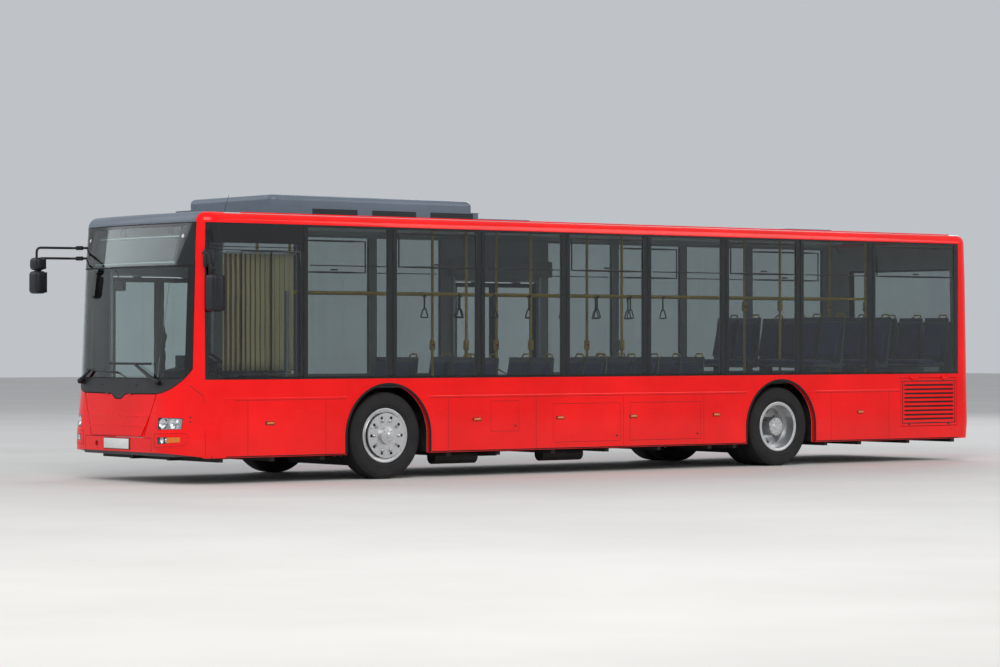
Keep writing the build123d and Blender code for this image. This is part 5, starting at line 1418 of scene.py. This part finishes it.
def roof_dressing():
    """Gutters, cant rails, roof seams, aerial, pod fans and grilles with painted shade in the fans and inside the pod,
    and the beads of both hatches.
    """
    parts = []
    for side in (1, -1):
        for middle, half, rear, front, foot, head, edge, finish in (
            (1.118, 0.006, -5.80, 5.28, 2.879, 2.8835, 0.002, rubber),
            (1.175, 0.007, -5.70, 5.05, 2.868, 2.884, 0.004, red_plain),
        ):
            y = side * middle
            parts.append((block((rear, y - half, foot), (front, y + half, head), edge, 1), finish))
    for x in (-4.75, -3.3, -2.6, -1.3, 0.1, 5.0):
        parts.append((block((x - 0.012, -1.11, 2.8795), (x + 0.012, 1.11, 2.8822), 0.001, 1), roof_paint))
    socket = knob([(0.018, 0.020), (0.032, 0.006), (0.034, 0.0)], 0.022, (4.85, 0.55, 2.879), steps=28)
    aerial = tube([(4.85, 0.55, 2.895), (4.83, 0.55, 2.99), (4.79, 0.55, 3.095)], [0.004, 0.003, 0.002], 8)
    parts += [(socket, dark_plastic), (aerial, dark_plastic)]
    for x in (1.95, 2.55, 3.15):
        ring = [(0.235, 0.0), (0.235, 0.006), (0.225, 0.0075), (0.215, 0.006), (0.215, 0.0)]
        parts.append((lathe(ring, (x, 0, 3.1045)), dark_plastic))
        # Painted shade: a near-black disc under the fan's guard stands for the dark inside of the fan
        parts.append((knob([(0.214, 0.0040), (0.214, 0.001)], centre=(x, 0, 3.1035), steps=48), joint_and_shade_black))
        for radius in (0.06, 0.10, 0.14, 0.18):
            inner, outer = radius - 0.0025, radius + 0.0025
            hoop = [(inner, 0.0), (inner, 0.006), (outer, 0.006), (outer, 0.0)]
            parts.append((lathe(hoop, (x, 0, 3.1055), steps=48), dark_plastic))
        spoke = block((-0.085, -0.003, 0.0), (0.085, 0.003, 0.005), 0.001, 1)
        parts.append((shifted(ring_of(spoke, 8, 0.128, dark_plastic), x, 0, 3.106), dark_plastic))
    for side in (1, -1):
        for x in (2.05, 2.85, 3.65):
            slat = block((-0.30, -0.004, -0.010), (0.30, 0.004, 0.010), 0.002, 1)
            parts.append((shifted(row_of(slat, 3, (0, 0, 0.022), dark_plastic), x, side * 0.9145, 2.905), dark_plastic))
    # Painted shade: a near-black sheet inside the pod stands for the dark behind its grilles
    parts.append((block((1.60, -0.84, 2.9695), (4.44, 0.84, 2.9725), 0.001, 1), joint_and_shade_black))
    join("roof_dressing", parts, "body")

    def hatch_top(x, y):
        return Vector((x, y, 2.936)), Vector((0, 0, 1))

    for name, x in (("front", 0.855), ("rear", -4.045)):
        edge = rectangle(x - 0.27, x + 0.27, -0.27, 0.27)
        bead = skin_line(hatch_top, edge, 0.03, 0.006, 0.001, True, 0.085)
        join(f"hatch_bead_{name}", [(bead, roof_paint)], f"hatch_{name}")


# ---------------------------------------------------------------- cabin

# Middle of each pair of seats and of each place, with the floor under it
SEATS = [(DATUM_X + x, side * 0.77, floor) for x, side, floor in (
    (1.55, 1, FLOOR), (0.75, 1, FLOOR), (-0.05, 1, FLOOR), (-0.85, 1, FLOOR), (-1.56, 1, FLOOR),
    (1.55, -1, FLOOR), (0.75, -1, FLOOR), (-1.64, -1, FLOOR),
    (-3.90, 1, REAR_FLOOR), (-4.70, 1, REAR_FLOOR), (-3.90, -1, REAR_FLOOR), (-4.70, -1, REAR_FLOOR),
)]
PLACES = [(x, y + half, floor) for x, y, floor in SEATS for half in (-0.207, 0.207)]
PLACES += [(BENCH_X, 0.46 * n, REAR_FLOOR) for n in (-2, -1, 0, 1, 2)]
CLOTH_FRAMES, CLOTH_PRESSURE = 20, 4
CHANNEL_DEPTH, CHANNEL_WIDTH = 0.007, 0.010


def cushion_form(size, voxel, cap, channels):
    """A pad blown up from a slightly smaller block, with sewn channels across it, centred on the origin."""
    holder = new_object("pad", block([-v / 2 for v in size], [v / 2 for v in size], 0.018, 3))
    mesher = holder.modifiers.new("mesher", "REMESH")
    mesher.mode, mesher.voxel_size = "VOXEL", voxel
    even = evaluated_mesh(holder)
    holder.modifiers.clear()
    holder.data = even
    before = [v.co.copy() for v in even.vertices]
    after = before
    cloth = holder.modifiers.new("cloth", "CLOTH")
    cloth.settings.use_pressure = True
    cloth.settings.uniform_pressure_force = CLOTH_PRESSURE
    cloth.settings.effector_weights.gravity = 0
    cloth.point_cache.frame_start, cloth.point_cache.frame_end = 1, CLOTH_FRAMES
    scene = bpy.context.scene
    for n in range(1, CLOTH_FRAMES + 1):
        scene.frame_set(n)
    graph = bpy.context.evaluated_depsgraph_get()
    blown = holder.evaluated_get(graph).to_mesh()
    after = [v.co.copy() for v in blown.vertices]
    scene.frame_set(1)
    holder.modifiers.clear()
    for vert, a, b in zip(even.vertices, before, after):
        shift = b - a
        if shift.length > cap:
            shift *= cap / shift.length
        spot = a + shift
        if a.z > 0:
            for axis, place in channels:
                spot.z -= CHANNEL_DEPTH * math.exp(-(((a[axis] - place) / CHANNEL_WIDTH) ** 2))
        vert.co = spot
    bpy.data.objects.remove(holder)
    bm = bmesh.new()
    bm.from_mesh(even)
    return finish_mesh(bm, "pad", 80)


def passenger_places():
    """Moulded shells, plush pads, grab loops and legs for every place, and the rear bench's plinth."""
    shell = prism([(-0.060, 0.36), (-0.130, 0.985), (-0.118, 1.000), (-0.100, 0.997), (-0.036, 0.440),
                   (-0.020, 0.415), (0.420, 0.405), (0.440, 0.395), (0.440, 0.380), (0.0, 0.360)],
                  "Y", -0.199, 0.199, 0.006)
    loop = tube(rounded_path([(-0.112, 0.16, 0.94), (-0.128, 0.16, 1.035), (-0.128, 0.03, 1.035),
                              (-0.114, 0.03, 0.96)], 0.03), 0.010, 8)
    parts = []
    for spot in PLACES:
        parts += [(shifted(shell.copy(), *spot), seat_shell), (shifted(loop.copy(), *spot), rail_yellow)]
    for x, y, floor in SEATS:
        leg = block((x + 0.12, y - 0.022, floor), (x + 0.32, y + 0.022, floor + 0.39), 0.008)
        foot = block((x + 0.09, y - 0.06, floor), (x + 0.35, y + 0.06, floor + 0.014), 0.004)
        parts += [(leg, dark_plastic), (foot, steel)]
    parts.append((block((BENCH_X + 0.10, -1.17, REAR_FLOOR), (BENCH_X + 0.38, 1.17, 1.19), 0.01), grey_plastic))
    join("seat_shells", parts, "body", ("passenger_seats",))
    seat_pad = cushion_form((0.355, 0.350, 0.040), 0.0165, 0.012, ((1, -0.11), (1, 0.11)))
    back_pad = cushion_form((0.475, 0.345, 0.034), 0.0165, 0.010, ((1, -0.11), (1, 0.11), (0, 0.17)))
    for name, pad, place in (("seat_pads", seat_pad, leaning((0.235, 0, 0.434), -2)),
                             ("back_pads", back_pad, leaning((-0.030, 0, 0.722), -102.6))):
        pad.transform(place)
        piece = join(name, [(shifted(pad.copy(), *spot), seat_plush) for spot in PLACES], "body")


def driver_place():
    """Driver's step, and the air-sprung seat with its arm rest and head rest."""
    x, y, floor = DATUM_X + 4.5, DRIVER_Y, CAB_FLOOR
    parts = [(block((4.505, 0.260, FLOOR), (5.213, 1.190, CAB_FLOOR), 0.004), floor_sheet)]
    parts.append((block((4.500, 0.252, 0.545), (5.210, 0.275, 0.566), 0.004), rail_yellow))
    for n in range(6):
        z = floor + 0.03 + 0.045 * n
        parts.append((block((x + 0.08, y - 0.15, z), (x + 0.36, y + 0.15, z + 0.036), 0.016), rubber))
    parts.append((block((x + 0.03, y - 0.21, floor + 0.30), (x + 0.42, y + 0.21, floor + 0.36), 0.02), dark_plastic))
    parts.append((block((x + 0.02, y - 0.20, floor), (x + 0.40, y + 0.20, floor + 0.03), 0.008), dark_plastic))
    back = prism([(-0.06, 0.38), (-0.130, 0.98), (-0.105, 1.0), (-0.02, 0.40)], "Y", -0.22, 0.22, 0.012)
    parts.append((shifted(back, x, y, floor), dark_plastic))
    parts.append((tube([(x, y - 0.24, floor + 0.62), (x + 0.26, y - 0.24, floor + 0.64)], 0.028, 12), dark_plastic))
    join("driver_step", parts, "body", ("driver_seat",))
    pads = []
    for size, voxel, cap, channels, spot, lean in (
        ((0.40, 0.40, 0.060), 0.014, 0.016, ((1, -0.125), (1, 0.125), (0, 0.06)), (x + 0.235, y, floor + 0.415), 0),
        ((0.50, 0.38, 0.055), 0.014, 0.016, ((1, -0.12), (1, 0.12), (0, 0.0)), (x - 0.005, y, floor + 0.70), -101),
        ((0.15, 0.24, 0.050), 0.012, 0.010, (), (x - 0.078, y, floor + 1.035), -98),
    ):
        pads.append((moved(cushion_form(size, voxel, cap, channels), leaning(spot, lean)), driver_plush))
    join("driver_pads", pads, "body")


def cab_fittings():
    """Instrument hood, gauges, switches, vents, ticket machine, hub pad, column stalks, pedals and the sign's face."""
    hood = prism([(5.36, 1.06), (5.55, 1.06), (5.60, 1.20), (5.44, 1.235), (5.36, 1.16)], "Y", 0.50, 1.02, 0.014)
    parts = [(hood, dark_plastic)]
    gauges = leaning((5.372, DRIVER_Y, 1.135), -82)
    for y, radius in ((-0.10, 0.052), (0.10, 0.052), (-0.20, 0.026), (0.20, 0.026), (0.0, 0.024)):
        inner = radius - 0.006
        bezel = [(inner, 0.0), (radius - 0.004, 0.008), (radius, 0.008), (radius + 0.002, 0.0)]
        ring = lathe(bezel, (0, y, 0), steps=28)
        dial = knob([(inner, 0.003), (inner, 0.0)], centre=(0, y, 0), steps=28)
        parts += [(moved(ring, gauges), aluminium), (moved(dial, gauges), screen_dark)]
    for row in (1.135, 1.098):
        key = block((-0.011, -0.008, 0.0), (0.011, 0.008, 0.009), 0.003, 1)
        keys = row_of(key, 7, (0, -0.030, 0), grey_plastic)
        parts.append((moved(keys, leaning((5.338, 0.47, row), -90)), grey_plastic))
    for y in (-0.9, -0.55, -0.2, 0.15, 1.05):
        slat = block((-0.03, -0.004, 0.0), (0.03, 0.004, 0.006), 0.0015, 1)
        vents = row_of(slat, 12, (0, 0.014, 0), black_frame)
        parts.append((shifted(vents, 5.60 - 0.072 * y**2, y - 0.08, 1.060), black_frame))
    parts.append((block((5.10, 0.265, 1.16), (5.30, 0.46, 1.36), 0.014, 3), dark_plastic))
    parts.append((block((5.092, 0.290, 1.22), (5.102, 0.435, 1.335), 0.003), screen_dark))
    parts.append((block((5.37, -1.0, 0.74), (5.50, -0.30, 1.02), 0.02, 3), dark_plastic))
    wheel = leaning((5.163, DRIVER_Y, 1.29), -38)
    pad = knob([(0.040, 0.028), (0.062, 0.016), (0.064, 0.0)], 0.030, (0, 0, 0.002), steps=36)
    parts.append((moved(pad, wheel), dark_plastic))
    grip = [(0.225 * math.cos(a), 0.225 * math.sin(a), 0.0) for a in (2 * math.pi * k / 64 for k in range(65))]
    parts.append((moved(tube(grip, 0.0165, 12), wheel), rubber))
    for sign in (1, -1):
        stalk = [(0.0, 0.03 * sign, -0.07), (0.02, 0.14 * sign, -0.055), (0.02, 0.20 * sign, -0.05)]
        parts.append((moved(tube(stalk, [0.008, 0.007, 0.011], 10), wheel), dark_plastic))
    boot = lathe([(0.060, -0.29), (0.066, -0.20), (0.050, -0.12), (0.044, -0.04), (0.036, -0.04), (0.036, -0.29)],
                 steps=28)
    parts.append((moved(boot, wheel), rubber))
    for y, lean in ((0.90, 20), (0.66, 30)):
        pedal = block((-0.005, -0.035, -0.08), (0.008, 0.035, 0.08), 0.004)
        parts.append((moved(pedal, leaning((5.20, y, 0.66), lean)), rubber))
    join("cab_fittings", parts, "body")
    sign = front_plates((screen_dark, rectangle(-0.80, 0.80, 2.375, 2.625), -0.060, 0.0645, 40, 4))
    for height in (2.362, 2.638):
        edge = skin_line(lambda y, z: front_point(y, z, -0.060), [(-0.83, height), (0.83, height)], 0.014, 0.004, 0.004)
        sign.append((edge, aluminium))
    join("sign_face", sign, "body")


def ceiling_fittings():
    """Light strips, duct covers, stop buttons on the poles and hanging grab loops."""
    parts = []
    poles = [(v, FLOOR) for v in (1.25, 0.30, -1.10)] + [(v, REAR_FLOOR) for v in (-3.70, -5.20)]
    for side in (1, -1):
        parts.append((block((-5.45, side * 0.55 - 0.07, 2.790), (3.70, side * 0.55 + 0.07, 2.822), 0.010), light_panel))
        duct = [(side * y, z) for y, z in (
            (1.188, 2.765), (1.188, 2.805), (1.10, 2.821), (0.86, 2.821), (0.90, 2.790), (1.08, 2.768))]
        parts.append((prism(duct, "X", -5.70, 3.60), pale_trim))
        for along, floor in poles:
            x, y = DATUM_X + along, side * 0.33
            box = block((x - 0.026, y - 0.026, floor + 1.08), (x + 0.026, y + 0.026, floor + 1.20), 0.008)
            spot = (x, y - side * 0.026, floor + 1.14)
            button = knob([(0.013, 0.007), (0.016, 0.0)], 0.008, spot, "Y", flip=-side)
            parts += [(box, rail_yellow), (button, red_button)]
    for side in (1, -1):
        bm = bmesh.new()
        bm.from_mesh(block((-0.012, -0.002, -0.16), (0.012, 0.002, 0.0), 0.001, 1))
        ring = [(-0.02, 0, -0.15), (-0.055, 0, -0.25), (0.055, 0, -0.25), (0.02, 0, -0.15), (-0.02, 0, -0.15)]
        bm.from_mesh(tube(rounded_path(ring, 0.018, 4), 0.008, 8))
        bm.from_mesh(block((-0.016, -0.020, -0.012), (0.016, 0.020, 0.020), 0.004, 1))
        loops = row_of(finish_mesh(bm, "grab loop", 50), 7, (0.52, 0, 0), dark_plastic)
        parts.append((shifted(loops, -1.60, side * 0.33, 2.044), dark_plastic))
    join("ceiling_fittings", parts, "body")


def cab_blind():
    """Pleated striped blind behind the driver's window, hung from a rail."""
    x0, x1, top, foot = 4.36, 5.26, 2.44, 1.20
    count, rows, pleats, depth = 180, 10, 15, 0.014
    path = [(x0 + (x1 - x0) * k / count, BLIND_Y + depth * math.sin(2 * math.pi * pleats * k / count))
            for k in range(count + 1)]
    bm = bmesh.new()
    grid = [[bm.verts.new((x, y + 0.002 * math.sin(7 * x + 5 * i), foot + (top - foot) * i / rows)) for x, y in path]
            for i in range(rows + 1)]
    for a, b in zip(grid, grid[1:]):
        for k in range(count):
            bm.faces.new((a[k], a[k + 1], b[k + 1], b[k]))
    piece = join("cab_blind", [(finish_mesh(bm, "blind", 60), blind_cloth)], "body")
    thick = piece.modifiers.new("cloth", "SOLIDIFY")
    thick.thickness = 0.0012


def blind_rail():
    """Rail that the blind hangs from, with a clip at each end."""
    parts = [(tube([(4.33, BLIND_Y, 2.452), (5.29, BLIND_Y, 2.452)], 0.009, 10), aluminium)]
    for x in (4.35, 5.27):
        parts.append((block((x - 0.012, 1.150, 2.445), (x + 0.012, 1.192, 2.465), 0.003), aluminium))
    join("blind_rail", parts, "body")


# ---------------------------------------------------------------- underside

BRAKE_CHAMBER = (  # turned outline, as (radius, along)
    (0, 0.0), (0.055, 0.0), (0.070, 0.012), (0.072, 0.045), (0.080, 0.050), (0.080, 0.062), (0.072, 0.068),
    (0.070, 0.120), (0.055, 0.140), (0, 0.142),
)


def underside_fittings():
    """Rear brake chambers, pipes along the rails with clips and bolts, silencer, shaft, axle housing, stabiliser."""
    parts = []
    for side in (1, -1):
        x, y, z = REAR_AXLE_X - 0.26, side * 0.42, 0.44
        parts.append((lathe(BRAKE_CHAMBER, (x, y, z), "X", 32, -1), chassis_black))
        parts.append((tube([(x, y, z), (x + 0.10, y, z)], 0.014, 10), steel))
        for n, (y, z) in enumerate(((0.425, 0.262), (0.440, 0.268), (0.455, 0.274))):
            pipe = tube([(x, side * y, z) for x in (-5.2, -3.2, 5.1)], 0.0055, 8)
            parts.append((pipe, copper_pipe if n else rubber))
        clip = block((-0.012, -0.03, -0.010), (0.012, 0.03, 0.016), 0.003, 1)
        parts.append((shifted(row_of(clip, 16, (0.60, 0, 0), steel), -4.6, side * 0.438, 0.268), steel))
        bolt = knob([(0.010, 0.010), (0.012, 0.007), (0.012, 0.0)], steps=6, flip=-1)
        parts.append((shifted(row_of(bolt, 26, (0.32, 0, 0), steel), -3.2, side * 0.38, 0.2325), steel))
    silencer = [(0, 0.0), (0.07, 0.0), (0.095, 0.02), (0.10, 0.05), (0.10, 0.75), (0.095, 0.78), (0.07, 0.80),
                (0, 0.80)]
    parts.append((lathe(silencer, (-5.60, 0.62, 0.42), "X", 40), steel))
    tail_pipe = [(-5.60, 0.62, 0.40), (-5.75, 0.62, 0.36), (-5.80, 0.80, 0.30), (-5.95, 0.86, 0.285)]
    parts.append((tube(rounded_path(tail_pipe, 0.08), 0.038, 16), steel))
    parts.append((tube([(-4.35, 0.0, 0.40), (REAR_AXLE_X - 0.22, 0.0, 0.30)], 0.045, 20), chassis_black))
    housing = [(0, -0.20), (0.07, -0.18), (0.13, -0.08), (0.15, 0.0), (0.13, 0.08), (0.07, 0.18), (0, 0.20)]
    parts.append((lathe(housing, (REAR_AXLE_X, 0.0, 0.30), "X", 32), cast_grey))
    x, z = FRONT_AXLE_X - 0.095, 0.175
    parts.append((tube([(x, -0.60, z), (x, 0.60, z)], 0.018, 12), chassis_black))
    for y in (-0.52, 0.52):
        clamp = block((x - 0.028, y - 0.03, z - 0.028), (FRONT_AXLE_X - 0.052, y + 0.03, z + 0.028), 0.006)
        parts.append((clamp, cast_grey))
    join("underside_fittings", parts, "body")


def brake_parts():
    """Ventilated disc on each front wheel, and the caliper with its air chamber on the knuckle."""
    profile = [(0.110, 0.040), (0.215, 0.040), (0.215, 0.053), (0.200, 0.053), (0.200, 0.059), (0.215, 0.059),
               (0.215, 0.072), (0.110, 0.072)]
    for side_name, side in SIDES:
        disc = lathe(profile, (FRONT_AXLE_X, side * 1.02, WHEEL_Z), "Y", 56, side)
        join(f"brake_disc_{side_name}", [(disc, steel)], f"wheel_front_{side_name}")
        x, z = FRONT_AXLE_X - 0.118, WHEEL_Z + 0.13
        low, high = sorted((side * 0.984, side * 1.050))
        caliper = block((x - 0.062, low, z - 0.080), (x + 0.075, high, z + 0.042), 0.016, 2)
        small = [(0.85 * radius, 0.85 * along) for radius, along in BRAKE_CHAMBER]
        chamber = lathe(small, (x, side * 0.986, z), "Y", 32, -side)
        parts = [(caliper, cast_grey), (chamber, chassis_black)]
        join(f"brake_caliper_{side_name}", parts, f"knuckle_{side_name}")


# ---------------------------------------------------------------- run

studio()
for side_name, side in SIDES:
    for end, x, planes in WHEELS:
        tyre(side_name, side, end, x, planes)
        wheel_trim(side_name, side, end, x, planes)
for make in (
    front_lamp_units, lamp_surround, screen_dressing, front_seams, flap_ribs, wiper_set, mirror_set, side_dressing,
    radiator_grille, door_dressing, tail_lamp_units, rear_dressing, engine_grille, roof_dressing, passenger_places,
    driver_place, cab_fittings, ceiling_fittings, blind_rail, cab_blind, underside_fittings, brake_parts,
):
    make()
